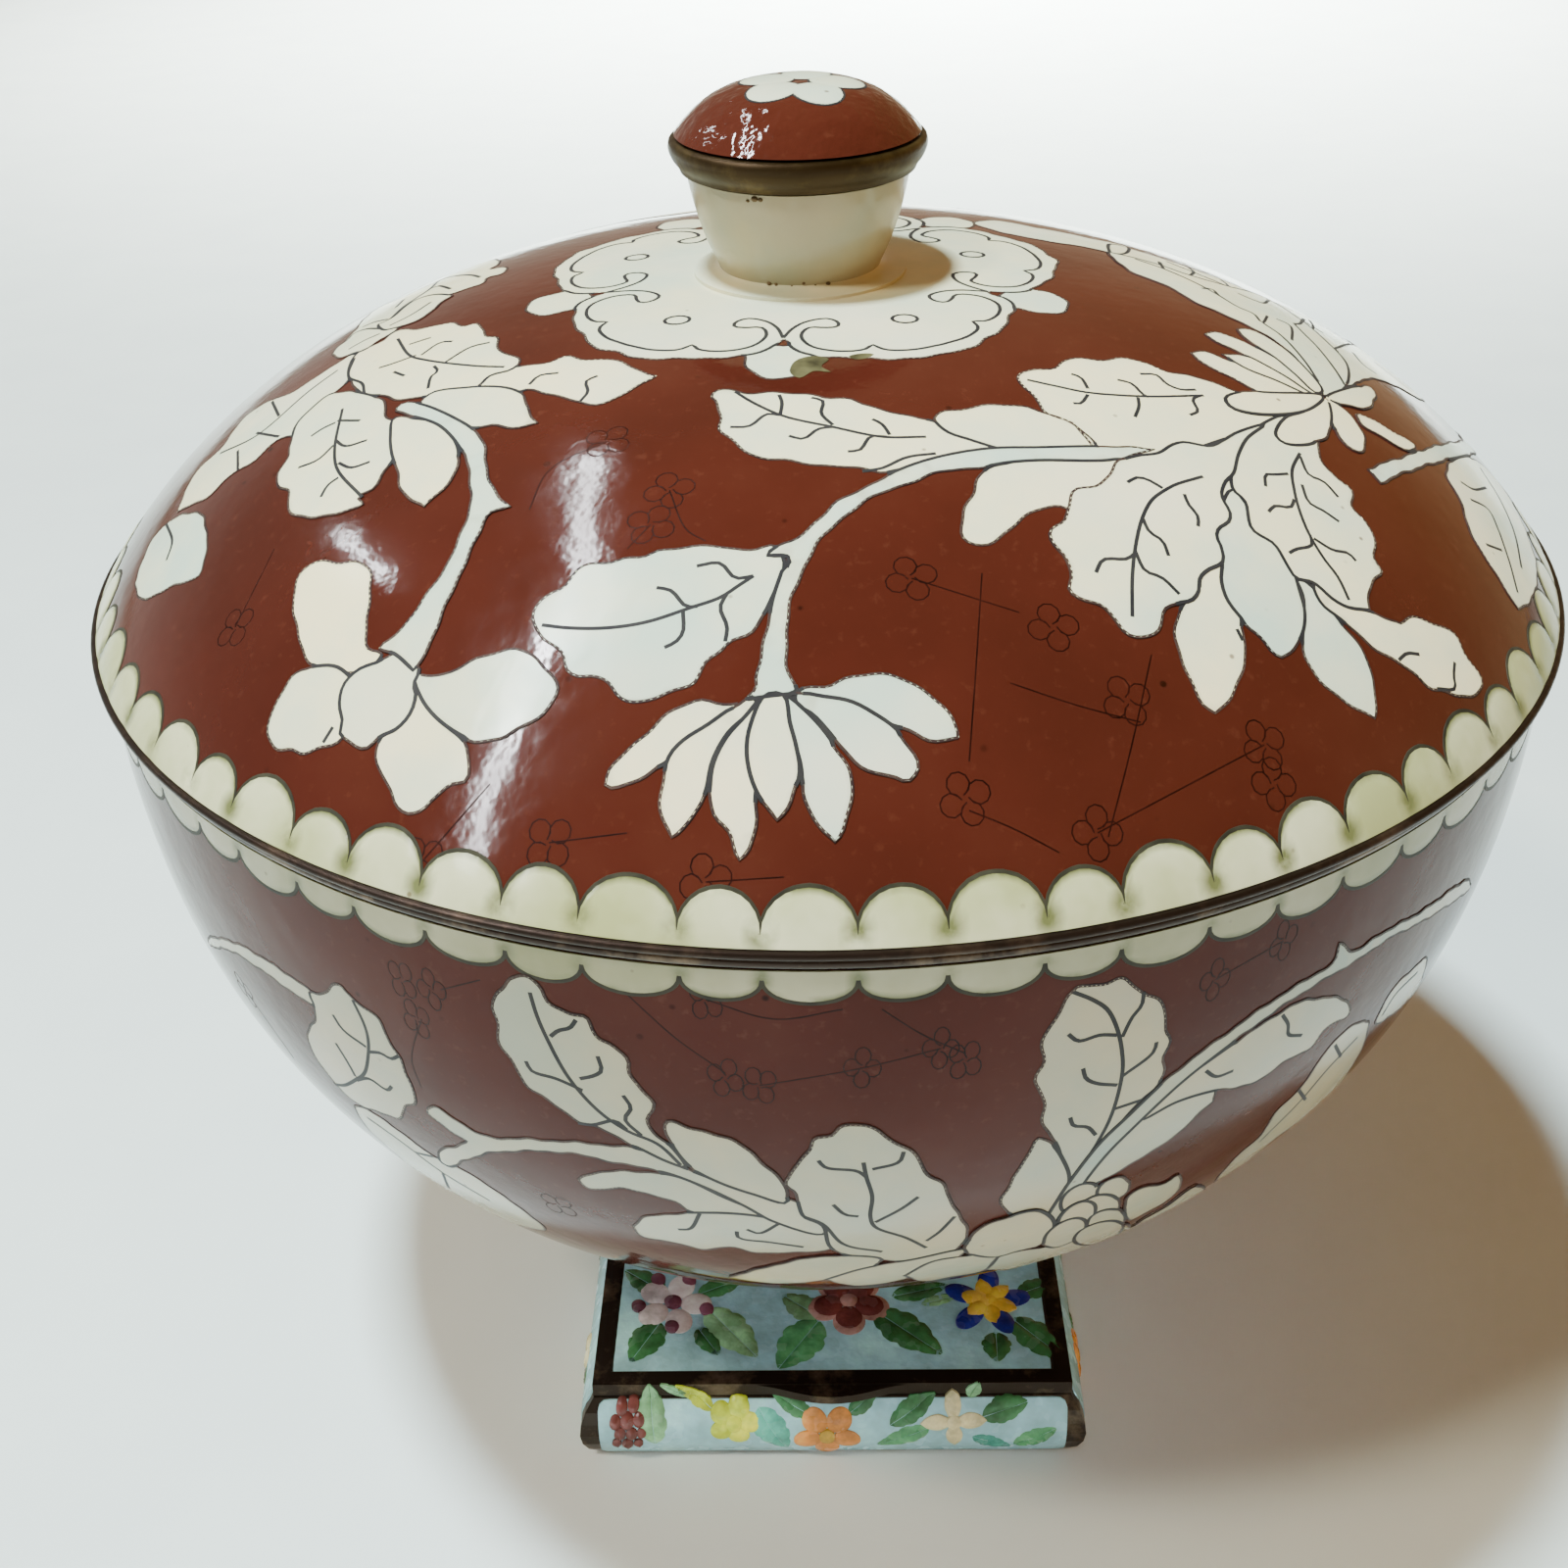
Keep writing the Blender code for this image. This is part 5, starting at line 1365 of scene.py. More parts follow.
BOWL_SPRAY = (
    # stem and leaf at the far left
    Cell(MILKY, 1, (214, 957, 240, 962, 280, 985, 318, 1012, 332, 1024, 318, 1024, 275, 995, 236, 970,
        214, 964)),
    Cell(MILKY, 2, (316, 1013, 332, 1013, 340, 1006, 347, 1004, 354, 1012, 366, 1024, 376, 1032, 387, 1039,
        394, 1055, 402, 1070, 408, 1079, 412, 1090, 424, 1118, 423, 1125, 414, 1128, 410, 1140, 395, 1137,
        370, 1128, 355, 1118, 345, 1108, 335, 1095, 325, 1082, 314, 1058, 318, 1047, 322, 1038, 320, 1023),
        ((360, 1020, 372, 1045, 376, 1060, 376, 1078, 372, 1095, 364, 1101, 352, 1107, 342, 1106),
        (340, 1035, 350, 1050, 374, 1068), (376, 1073, 388, 1074, 400, 1080, 407, 1077), (343, 1064,
        356, 1085, 363, 1098), (364, 1102, 376, 1100, 396, 1112, 400, 1108))),
    # leaves along the lower left edge
    Cell(MILKY, 1, (362, 1128, 385, 1138, 402, 1150, 440, 1178, 480, 1198, 520, 1225, 556, 1254, 530, 1250,
        485, 1232, 445, 1210, 405, 1178, 375, 1150), ((375, 1140, 410, 1165, 450, 1195, 500, 1225),
        (425, 1176, 442, 1180), (452, 1197, 458, 1212))),
    # twig
    Cell(MILKY, 3, (436, 1133, 443, 1129, 456, 1136, 470, 1145, 485, 1155, 500, 1160, 540, 1162, 620, 1168,
        660, 1174, 700, 1192, 750, 1210, 800, 1222, 842, 1240, 842, 1258, 790, 1246, 760, 1230, 720, 1211,
        680, 1196, 640, 1188, 580, 1176, 540, 1174, 500, 1176, 474, 1184, 460, 1190, 448, 1182, 449, 1174,
        462, 1170, 478, 1164, CORNER, 458, 1152)),
    # leaf over the twig
    Cell(MILKY, 4, (520, 998, 530, 995, 540, 996, 552, 1010, 557, 1020, 578, 1032, 598, 1039, 604, 1050,
        612, 1060, 626, 1066, 640, 1082, 641, 1093, 652, 1108, 667, 1124, 665, 1132, 660, 1141, 664, 1152,
        684, 1168, 700, 1190, 680, 1184, 655, 1172, 630, 1160, 610, 1149, 595, 1145, 580, 1137, 552, 1116,
        538, 1107, 530, 1096, 523, 1082, 511, 1066, 508, 1042, 502, 1026, 506, 1015, 514, 1010),
        ((541, 1012, 548, 1035, 558, 1058, 580, 1098, 610, 1132, 640, 1153, 672, 1167, 695, 1188),
        (562, 1057, 570, 1051, 582, 1048, 588, 1040), (537, 1082, 543, 1092, 568, 1100, 595, 1112),
        (592, 1100, 606, 1097, 614, 1092, 610, 1077), (636, 1117, 644, 1130, 638, 1141, 655, 1158),
        (590, 1145, 605, 1147, 628, 1143, 640, 1152))),
    # bud
    Cell(MILKY, 5, (681, 1143, 700, 1150, 735, 1158, 756, 1168, 785, 1192, 798, 1206, 803, 1226, 770, 1218,
        735, 1206, 708, 1192, 692, 1176, 681, 1156)),
    # slender leaves
    Cell(MILKY, 1, (591, 1204, CORNER, 600, 1198, 640, 1195, 690, 1200, 740, 1222, 790, 1244, 740, 1240,
        705, 1236, 690, 1227, 640, 1213, 600, 1212), ((705, 1237, 740, 1238, 790, 1246),)),
    Cell(MILKY, 2, (646, 1251, CORNER, 655, 1243, 690, 1238, 712, 1237, 770, 1240, 845, 1258, 850, 1272,
        820, 1277, 770, 1277, 745, 1272, 720, 1274, 690, 1268, 652, 1259), ((692, 1254, 705, 1253,
        714, 1238), (752, 1256, 753, 1262, 785, 1267, 820, 1272), (762, 1254, 775, 1258, 795, 1248))),
    # leaf in the middle
    Cell(MILKY, 6, (808, 1196, 826, 1172, 829, 1162, 850, 1158, 858, 1150, 871, 1146, 895, 1152, 905, 1162,
        925, 1170, 936, 1179, 942, 1195, 964, 1208, 967, 1222, 980, 1240, 986, 1262, 960, 1282, 900, 1284,
        848, 1272, 840, 1250, 820, 1240, 815, 1228, 812, 1216, 803, 1207), ((881, 1185, 884, 1200,
        890, 1220, 888, 1240, 892, 1250, 925, 1262, 945, 1272), (835, 1183, 842, 1190, 875, 1194,
        884, 1200), (922, 1174, 918, 1184, 890, 1192), (850, 1228, 862, 1238, 876, 1240), (937, 1220,
        920, 1232, 893, 1246), (974, 1240, 958, 1256, 945, 1265), (820, 1240, 840, 1248, 860, 1268,
        900, 1276))),
    # petals at its base
    Cell(MILKY, 7, (745, 1302, CORNER, 790, 1290, 830, 1282, 870, 1280, 900, 1284, 880, 1296, 830, 1306,
        790, 1308)),
    Cell(MILKY, 8, (843, 1304, CORNER, 880, 1293, 930, 1284, 985, 1274, 960, 1292, 910, 1306, 870, 1310)),
    Cell(MILKY, 9, (923, 1300, CORNER, 950, 1286, 985, 1280, 1018, 1277, 1008, 1292, 970, 1301, 940, 1305)),
    Cell(MILKY, 10, (984, 1273, 1000, 1252, 1020, 1243, 1060, 1234, 1075, 1246, 1064, 1266, 1040, 1274,
        1010, 1281)),
    Cell(MILKY, 9, (1006, 1294, CORNER, 1020, 1280, 1060, 1272, 1100, 1262, 1152, 1249, 1130, 1268,
        1090, 1284, 1045, 1293)),
    # upright leaf
    Cell(MILKY, 1, (1100, 1007, 1125, 1004, 1146, 999, 1162, 1010, 1178, 1018, 1187, 1027, 1190, 1050,
        1194, 1060, 1186, 1080, 1188, 1093, 1181, 1108, 1165, 1122, 1140, 1150, 1100, 1210, 1082, 1235,
        1084, 1200, 1080, 1172, 1066, 1150, 1064, 1140, 1066, 1125, 1056, 1103, 1066, 1083, 1062, 1062,
        1078, 1040, 1090, 1016), ((1095, 1012, 1115, 1020, 1130, 1030, 1140, 1050, 1145, 1075, 1145, 1095,
        1133, 1140, 1105, 1190), (1167, 1012, 1165, 1025, 1155, 1038, 1145, 1058), (1090, 1055, 1100, 1062,
        1122, 1056, 1140, 1056), (1180, 1063, 1177, 1073, 1145, 1098), (1105, 1090, 1108, 1100, 1118, 1105,
        1140, 1107), (1092, 1140, 1095, 1148, 1110, 1150, 1118, 1158), (1135, 1132, 1165, 1122))),
    # toothed petal
    Cell(MILKY, 2, (1060, 1160, 1074, 1168, 1084, 1182, 1091, 1202, 1082, 1228, 1062, 1240, 1040, 1242,
        1026, 1234, 1022, 1222, 1030, 1210, 1034, 1200, 1044, 1188, 1051, 1174)),
    # long stem
    Cell(COOL, 4, (1068, 1246, 1080, 1222, 1098, 1196, 1122, 1166, 1148, 1141, 1196, 1096, 1246, 1058,
        1298, 1021, 1338, 996, 1362, 980, 1366, 962, CORNER, 1380, 970, 1410, 952, 1450, 930, 1498, 898,
        1500, 904, 1455, 937, 1415, 958, 1386, 978, 1342, 1004, 1302, 1030, 1252, 1067, 1204, 1105,
        1156, 1150, 1130, 1176, 1106, 1206, 1090, 1232, 1078, 1252)),
    # slender leaf on the right of the stem
    Cell(MILKY, 3, (1196, 1110, 1228, 1086, 1280, 1050, 1320, 1025, 1345, 1018, 1374, 1021, 1376, 1034,
        1352, 1049, 1336, 1069, 1308, 1084, 1282, 1103, 1268, 1108, 1240, 1112, 1200, 1124, 1165, 1142),
        ((1308, 1035, 1314, 1045, 1314, 1055, 1328, 1056), (1230, 1092, 1240, 1098, 1258, 1092))),
    # pointed leaf below it
    Cell(MILKY, 2, (1240, 1111, 1238, 1123, CORNER, 1222, 1136, 1200, 1158, 1165, 1180, 1140, 1196,
        1110, 1212, 1094, 1228, 1110, 1190, 1150, 1148, 1190, 1120)),
    # rosette
    Cell(MILKY, 5, oval_outline((1102, 1222), 22, 13, -0.5)),
    Cell(MILKY, 6, oval_outline((1136, 1212), 18, 10, -0.35)),
    Cell(MILKY, 7, (1150, 1243, 1148, 1226, 1162, 1212, 1190, 1206, 1202, 1198, 1205, 1206, 1192, 1222,
        1172, 1234)),
    Cell(MILKY, 8, oval_outline((1122, 1230), 20, 12, -0.2)),
    Cell(MILKY, 9, oval_outline((1098, 1240), 22, 12, -0.6)),
    Cell(MILKY, 10, oval_outline((1128, 1244), 20, 11, -0.25)),
    Cell(MILKY, 11, oval_outline((1086, 1256), 24, 11, -0.5)),
    Cell(MILKY, 12, oval_outline((1120, 1256), 26, 10, -0.3)),
    Cell(MILKY, 8, (1152, 1258, 1160, 1248, 1190, 1230, 1222, 1209, 1229, 1215, 1210, 1230, 1186, 1244)),
    # leaves at the right edge
    Cell(MILKY, 1, (1395, 1042, 1375, 1050, 1355, 1070, 1340, 1092, 1325, 1112, 1302, 1135, 1285, 1160,
        1262, 1180, 1240, 1206, 1262, 1192, 1300, 1162, 1342, 1131, 1371, 1100, 1393, 1060), ((1385, 1058,
        1355, 1090, 1325, 1125, 1285, 1165), (1362, 1066, 1368, 1078), (1325, 1112, 1332, 1122))),
    Cell(MILKY, 1, (1455, 978, 1438, 992, 1424, 1006, 1412, 1024, 1404, 1044, 1426, 1030, 1448, 1004),
        ((1446, 992, 1424, 1014, 1410, 1036),)),
)


# The bunch at the bowl's sides, which the picture doesn't show: some cells of the bowl's spray, turned
BUNCH_CELLS = ((8, 16), (19, 28))
BUNCH_TURN = math.radians(74.0)


class JAR_OT_lid_sprays(bpy.types.Operator):
    """Lay the lid's sprays of leaves and blossoms, front and back"""
    bl_idname = "jar.lid_sprays"
    bl_label = "Lid sprays"

    def execute(self, context):
        colours = context.scene.jar_colours
        cells, wires = Piece(), Piece()
        inlay = Inlay(lid_face(), cells, wires)
        inlay.far_gain = 0.9
        reader = PictureReader(inlay.face, True)
        pitch = inlay.set.wire_pitch
        lay_plates(inlay, read_plates(reader, LID_CENTRE_SPRAY, pitch), (0.0, BACK))
        lay_plates(inlay, read_plates(reader, LID_RIGHT_SPRAY, pitch))
        lay_plates(inlay, read_plates(reader, LID_LEFT_SPRAY, pitch))
        cells.make("lid_sprays", [white_enamel("lid_white", colours)], "white_enamel")
        wires.make("lid_spray_wires", wire_finishes("lid", colours), "lid_enamel")
        return {"FINISHED"}


class JAR_OT_bowl_sprays(bpy.types.Operator):
    """Lay the bowl's sprays, front and back"""
    bl_idname = "jar.bowl_sprays"
    bl_label = "Bowl sprays"

    def execute(self, context):
        colours = context.scene.jar_colours
        cells, wires = Piece(), Piece()
        inlay = Inlay(bowl_face(), cells, wires, context.scene.jar_ornament.bowl_wire_width)
        reader = PictureReader(inlay.face, False)
        plates = read_plates(reader, BOWL_SPRAY, inlay.set.wire_pitch)
        lay_plates(inlay, plates, (0.0, BACK))
        bunch = [plate for first, last in BUNCH_CELLS for plate in plates[first:last]]
        lay_plates(inlay, bunch, (BUNCH_TURN, BUNCH_TURN + BACK))
        # The bowl's white is a darker copy of the lid's, at tone 0.52: painted shade, as less light reaches
        # the bowl's side.
        cells.make("bowl_sprays", [white_enamel("bowl_white_shaded", colours, tone=0.52)], "white_enamel")
        wires.make("bowl_spray_wires", wire_finishes("bowl", colours), "bowl_enamel")
        return {"FINISHED"}


# Ground wires: faint lines and four-lobed loops in the red

FAINT_LIFT = 0.004 * MM
FAINT_WIDTH = 0.18 * MM
FAINT_PROUD = 0.002 * MM
LOOP_REACH = 1.5 * MM
LOOP_SIZE = 1.15 * MM
LID_LOOPS = (
    (683, 500, 0.2), (664, 535, 1.0), (1075, 640, 0.3), (1150, 715, 0.6), (985, 815, 0.5), (1120, 850, 0.1),
    (430, 880, 0.4), (1300, 800, 0.2), (560, 860, 0.6), (240, 640, 0.3), (620, 450, 0.9), (930, 590, 0.4),
    (1290, 760, 0.7), (720, 900, 0.2))
LID_LINES = (
    (683, 500, 700, 540, 720, 552), (664, 535, 640, 560), (1002, 585, 996, 680, 989, 777),
    (1031, 697, 1100, 720, 1164, 737), (1175, 668, 1155, 760, 1131, 854), (989, 827, 1035, 846, 1081, 870),
    (930, 590, 1040, 625), (1120, 850, 1290, 760), (240, 640, 280, 560), (430, 880, 500, 800),
    (560, 860, 640, 850), (720, 900, 800, 895), (620, 450, 560, 480, 540, 520))
BOWL_LOOPS = (
    (410, 1000, 0.2), (440, 1010, 1.0), (425, 1040, 0.6), (740, 1100, 0.3), (775, 1108, 0.9),
    (960, 1070, 0.2), (985, 1082, 0.8), (720, 1020, 0.5), (570, 1230, 0.4), (1240, 1000, 0.5),
    (1310, 960, 0.2), (250, 1010, 0.4), (880, 1090, 0.1))
BOWL_LINES = (
    (430, 1040, 420, 1080, 430, 1110), (640, 1015, 690, 1060, 740, 1095), (900, 1030, 940, 1055, 985, 1075),
    (775, 1108, 880, 1090, 960, 1070), (1240, 1000, 1310, 960), (450, 1010, 490, 1000),
    (720, 1020, 790, 1040, 860, 1030), (250, 1010, 300, 1080))


def loops(centre, turn):
    """Four small circles round a centre, as one wire each."""
    out = []
    for k in range(4):
        angle = turn + QUARTER * k
        middle = centre + LOOP_REACH * np.array([math.cos(angle), math.sin(angle)])
        round_ = np.linspace(angle + math.pi, angle + math.pi + 1.85 * math.pi, 14)
        out.append(middle + LOOP_SIZE * np.stack([np.cos(round_), np.sin(round_)], axis=1))
    return out


class JAR_OT_ground_wires(bpy.types.Operator):
    """Lay the faint wires that hold the red ground"""
    bl_idname = "jar.ground_wires"
    bl_label = "Ground wires"

    def execute(self, context):
        colours = context.scene.jar_colours
        for name, face, on_lid, places, lines, ground in (
                ("lid", lid_face(), True, LID_LOOPS, LID_LINES, colours.lid_ground),
                ("bowl", bowl_face(), False, BOWL_LOOPS, BOWL_LINES, colours.bowl_ground)):
            wires = Piece()
            inlay = Inlay(face, None, wires)
            reader = PictureReader(face, on_lid)
            runs = [reader.line(line) for line in lines]
            for x, y, turn in places:
                runs += loops(reader.chart(np.array([[x, y]], float))[0], turn)
            for angle in (0.0, BACK):
                for run in runs:
                    inlay.wire(turned_line(run, angle), FAINT_LIFT, width=FAINT_WIDTH, proud=FAINT_PROUD)
            faint = wire_metal(name + "_ground_wire", scaled(ground, 0.15), scaled(ground, 0.45), 0.1)
            wires.make(name + "_ground_wires", [faint], name + "_enamel")
        return {"FINISHED"}


# The knob

NECK_PROFILE = ((1.0, 13.0), (0.80, 12.55), (0.55, 11.8), (0.32, 10.9), (0.16, 10.1), (0.06, 9.6), (0.0, 9.4))
NECK_FILLET = ((9.4, 0.75), (9.9, 0.35), (10.9, 0.12), (12.6, 0.0))
COLLAR_DROPS = ((14.2, 0.0), (14.75, 0.25), (14.95, 0.9), (14.9, 1.4), (14.5, 2.3), (13.9, 3.1), (13.7, 3.6))
CAP_FULLNESS = 3.25
CAP_PETALS = 5
CAP_PETAL_PLACE = 4.25 * MM
CAP_PETAL_SIZE = (2.9 * MM, 3.3 * MM)
BLOSSOM_SHIFT = np.array([0.4 * MM, -1.4 * MM])
NECK_PITS = (                       # x, y in the picture, radius in millimetres
    (785, 289, 0.28), (792, 290, 0.22), (808, 292, 0.18), (820, 289, 0.2), (832, 291, 0.16), (845, 289, 0.3),
    (770, 203, 0.42), (776, 204, 0.3), (763, 205, 0.22))
KNOB_STEPS = 144                    # facets round the knob
BLOSSOM_LIFT = 0.03 * MM


def cap_height(radius, edge):
    return CAP_BASE + (CAP_TOP - CAP_BASE) * (1.0 - np.clip(radius / edge, 0.0, 1.0) ** CAP_FULLNESS)


def neck_profile():
    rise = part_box("knob_neck")[1].z - NECK_BASE
    side = [(radius * MM, NECK_BASE + share * rise) for share, radius in NECK_PROFILE]
    return even_line(smooth_line(side), 0.5 * MM)


def outside_neck(points):
    profile = neck_profile()[::-1]
    radius = np.interp(points[..., 2], profile[:, 1], profile[:, 0])
    gap = np.hypot(points[..., 0] - KNOB_SHIFT, points[..., 1]) - radius
    off_level = np.maximum(profile[0, 1] - points[..., 2], points[..., 2] - profile[-1, 1])
    return np.where(off_level > 0.0, 1.0, gap)


class JAR_OT_knob(bpy.types.Operator):
    """Turn the knob's neck, collar and cap, and lay its blossom"""
    bl_idname = "jar.knob"
    bl_label = "Knob"

    def execute(self, context):
        colours = context.scene.jar_colours
        centre = (KNOB_SHIFT, 0.0)
        side = neck_profile()
        piece = Piece()
        profile = [(0.0, side[0, 1])] + [tuple(point) for point in side] + [(0.0, NECK_BASE)]
        add_turned(piece, profile, KNOB_STEPS, centre, closed=False, tint=0.6)
        fillet = [(radius * MM, NECK_BASE + lift * MM) for radius, lift in NECK_FILLET]
        fillet = [tuple(point) for point in even_line(smooth_line(fillet), 0.35 * MM)]
        fillet += [(12.6 * MM, NECK_BASE - 0.4 * MM), (9.0 * MM, NECK_BASE - 0.4 * MM)]
        add_turned(piece, fillet, KNOB_STEPS, centre, finish=2, tint=MILKY)
        seen = Eye().meet(np.array([(x, y) for x, y, _ in NECK_PITS], float), outside_neck)
        for place, (_, _, size) in zip(seen, NECK_PITS):
            add_bead(piece, place, size * MM, 1)
        # The neck's white is darker than the medallion's, at tone 0.52: partly its own greyer enamel, partly
        # painted shade.
        white = white_enamel("neck_white", colours, (0.30, 0.26, 0.18), 0.3, 0.52)
        foot = white_enamel("neck_foot_white", colours, (0.42, 0.38, 0.26), 0.0)
        brown = wire_metal("neck_pit", (0.10, 0.065, 0.035), (0.22, 0.15, 0.08))
        piece.make("knob_neck_body", [white, brown, foot], "white_enamel", ["knob_neck"])
        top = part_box("knob_collar")[1].z
        collar = [(radius * MM, top - drop * MM) for radius, drop in COLLAR_DROPS]
        collar = even_line(smooth_line(collar), 0.25 * MM)
        piece = Piece()
        profile = [(0.0, top)] + [tuple(point) for point in collar] + [(0.0, collar[-1, 1])]
        add_turned(piece, profile, KNOB_STEPS, centre, closed=False)
        metal = patinated_metal("collar_brass_finish", (0.036, 0.020, 0.006), (0.095, 0.062, 0.020), 0.42)
        piece.make("knob_collar_ring", [metal], "collar_brass", ["knob_collar"])
        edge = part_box("knob_cap")[1].x - KNOB_SHIFT
        radii = edge * np.sin(np.linspace(0.0, QUARTER, 300))
        face = TurnedFace(radii, cap_height(radii, edge), KNOB_SHIFT)
        piece = Piece()
        dome = even_line(np.stack([face.radii, face.heights], axis=1), 0.4 * MM)
        profile = [tuple(point) for point in dome] + [(0.0, CAP_BASE)]
        add_turned(piece, profile, KNOB_STEPS, centre, closed=False)
        red = ground_enamel("brick_red_knob", colours.lid_ground, 1.0, 1.6)
        piece.make("knob_cap_body", [red], "knob_enamel", ["knob_cap"])
        cells, wires = Piece(), Piece()
        inlay = Inlay(face, cells, wires)
        for k in range(CAP_PETALS):
            angle = math.pi * (0.15 + 2.0 * k / CAP_PETALS)
            middle = face.polar(math.degrees(angle), CAP_PETAL_PLACE) + BLOSSOM_SHIFT
            outline = smooth_line(oval_outline(middle, *CAP_PETAL_SIZE, angle), closed=True)
            petal = even_line(outline, 0.4 * MM, closed=True)
            inlay.cell(petal, BLOSSOM_LIFT, tint=-0.6, pitch=0.7 * MM, dome=0.05 * MM)
            inlay.wire(outline, BLOSSOM_LIFT, closed=True, width=0.36 * MM)
        cells.make("knob_blossom", [white_enamel("knob_white", colours)], "knob_enamel")
        wires.make("knob_blossom_wires", wire_finishes("knob", colours), "knob_enamel")
        return {"FINISHED"}


# The casket: enamel panels in dark metal edges, with raised flowers and leaves

ENAMELS = {
    "dark_green": (0.050, 0.19, 0.075), "light_green": (0.24, 0.52, 0.27), "mid_green": (0.10, 0.36, 0.16),
    "teal": (0.08, 0.38, 0.31), "yellow": (0.60, 0.72, 0.05), "gold": (0.80, 0.50, 0.07),
    "orange": (0.85, 0.33, 0.08), "maroon": (0.17, 0.045, 0.042), "lilac": (0.80, 0.72, 0.74),
    "purple": (0.17, 0.06, 0.10), "navy": (0.02, 0.03, 0.27), "cream": (0.88, 0.78, 0.44),
    "rose": (0.46, 0.25, 0.22)}
ENAMEL_ORDER = ("blue",) + tuple(ENAMELS)
FRAME_WIDTH = 1.5 * MM
FIELD_DROP = 0.5 * MM               # the top's field below its metal border
PANEL_LIFT = 0.10 * MM
PANEL_CORNER = 1.2 * MM
FLOWER_LIFT = 0.35 * MM
UPPER_RISE = 0.25 * MM              # second ring of petals above the first, and hearts above the petals
LEAF_LIFT = 0.22 * MM
LEAF_STEPS = 16
LEAF_TEETH = 4                      # steps from one notch in a leaf's edge to the next
GAUGE = 10.0                        # drawn length on which a face's scale is read
FIELD_EDGE = (
    617, 1403, 660, 1404, 700, 1406, 740, 1404, 780, 1403, 800, 1408, 822, 1406, 842, 1401, 870, 1399,
    905, 1401, 945, 1403, 972, 1407, 1012, 1409, 1040, 1405, 1070, 1404, 1086, 1403)

# Leaves are (enamel, base, tip, width), flowers (enamel, centre, petals, reach, width, turn, sharp),
# hearts (enamel, centre, half width) and berries (x, y, half width)
TOP_LEAVES = (
    ("dark_green", (678, 1320), (638, 1297), 25), ("dark_green", (712, 1322), (762, 1304), 24),
    ("light_green", (722, 1336), (773, 1386), 36), ("dark_green", (712, 1356), (734, 1384), 20),
    ("dark_green", (674, 1350), (643, 1391), 32), ("light_green", (838, 1346), (798, 1322), 30),
    ("mid_green", (836, 1348), (794, 1398), 40), ("dark_green", (892, 1338), (962, 1383), 40),
    ("light_green", (940, 1332), (980, 1322), 13), ("dark_green", (1038, 1322), (1078, 1308), 24),
    ("dark_green", (1032, 1346), (1090, 1390), 36), ("dark_green", (1016, 1360), (1018, 1391), 24),
    ("dark_green", (910, 1324), (968, 1312), 24))
TOP_FLOWERS = (
    ("lilac", (687, 1332), 5, 38, 27, 0.31, False), ("rose", (866, 1330), 5, 41, 33, 0.0, False),
    ("maroon", (866, 1330), 5, 36, 27, 0.0, False), ("navy", (1007, 1330), 5, 44, 22, 0.5, False),
    ("gold", (1008, 1330), 6, 30, 18, 0.2, True))
UPPER_PETALS = ("maroon", "gold")
PETAL_SPOTS = ((672, 1308), (703, 1309), (652, 1335), (721, 1338), (686, 1356))
TOP_HEARTS = (("purple", (687, 1331), 9), ("gold", (1008, 1330), 10), ("rose", (866, 1330), 9))
FRONT_LEAVES = (
    ("light_green", (669, 1470), (661, 1422), 20), ("yellow", (728, 1442), (688, 1423), 15),
    ("light_green", (702, 1434), (672, 1422), 10), ("teal", (774, 1440), (804, 1476), 26),
    ("dark_green", (830, 1446), (788, 1432), 17), ("dark_green", (866, 1444), (896, 1430), 16),
    ("dark_green", (908, 1452), (956, 1430), 22), ("mid_green", (948, 1454), (894, 1472), 23),
    ("light_green", (990, 1434), (1000, 1420), 12), ("dark_green", (1002, 1446), (1050, 1436), 25),
    ("mid_green", (1034, 1472), (1078, 1454), 24), ("teal", (992, 1462), (1032, 1475), 18))
FRONT_FLOWERS = (
    ("yellow", (749, 1450), 5, 26, 22, 0.3, False), ("orange", (844, 1460), 5, 34, 25, 0.0, False),
    ("cream", (973, 1449), 4, 34, 17, 0.05, True))
FRONT_HEARTS = (("yellow", (749, 1450), 8), ("gold", (844, 1461), 8), ("cream", (973, 1449), 7))
BERRIES = (
    (634, 1440, 6), (646, 1438, 6), (628, 1450, 6), (640, 1449, 7), (652, 1448, 6), (633, 1459, 6),
    (645, 1459, 6), (655, 1458, 5), (630, 1468, 5), (641, 1469, 6), (652, 1468, 5))

# The sides and the back, which the picture doesn't show: flowers in a row, each with three leaves
SIDE_FLOWERS = {
    "left": ("yellow", "light_green", "teal", "cream"), "right": ("orange", "maroon", "gold", "light_green"),
    "back": ("cream", "orange", "lilac")}
SIDE_LEAVES = ((5.2, 2.6, "dark_green"), (-5.4, -2.2, "light_green"), (5.6, -2.8, "teal"))


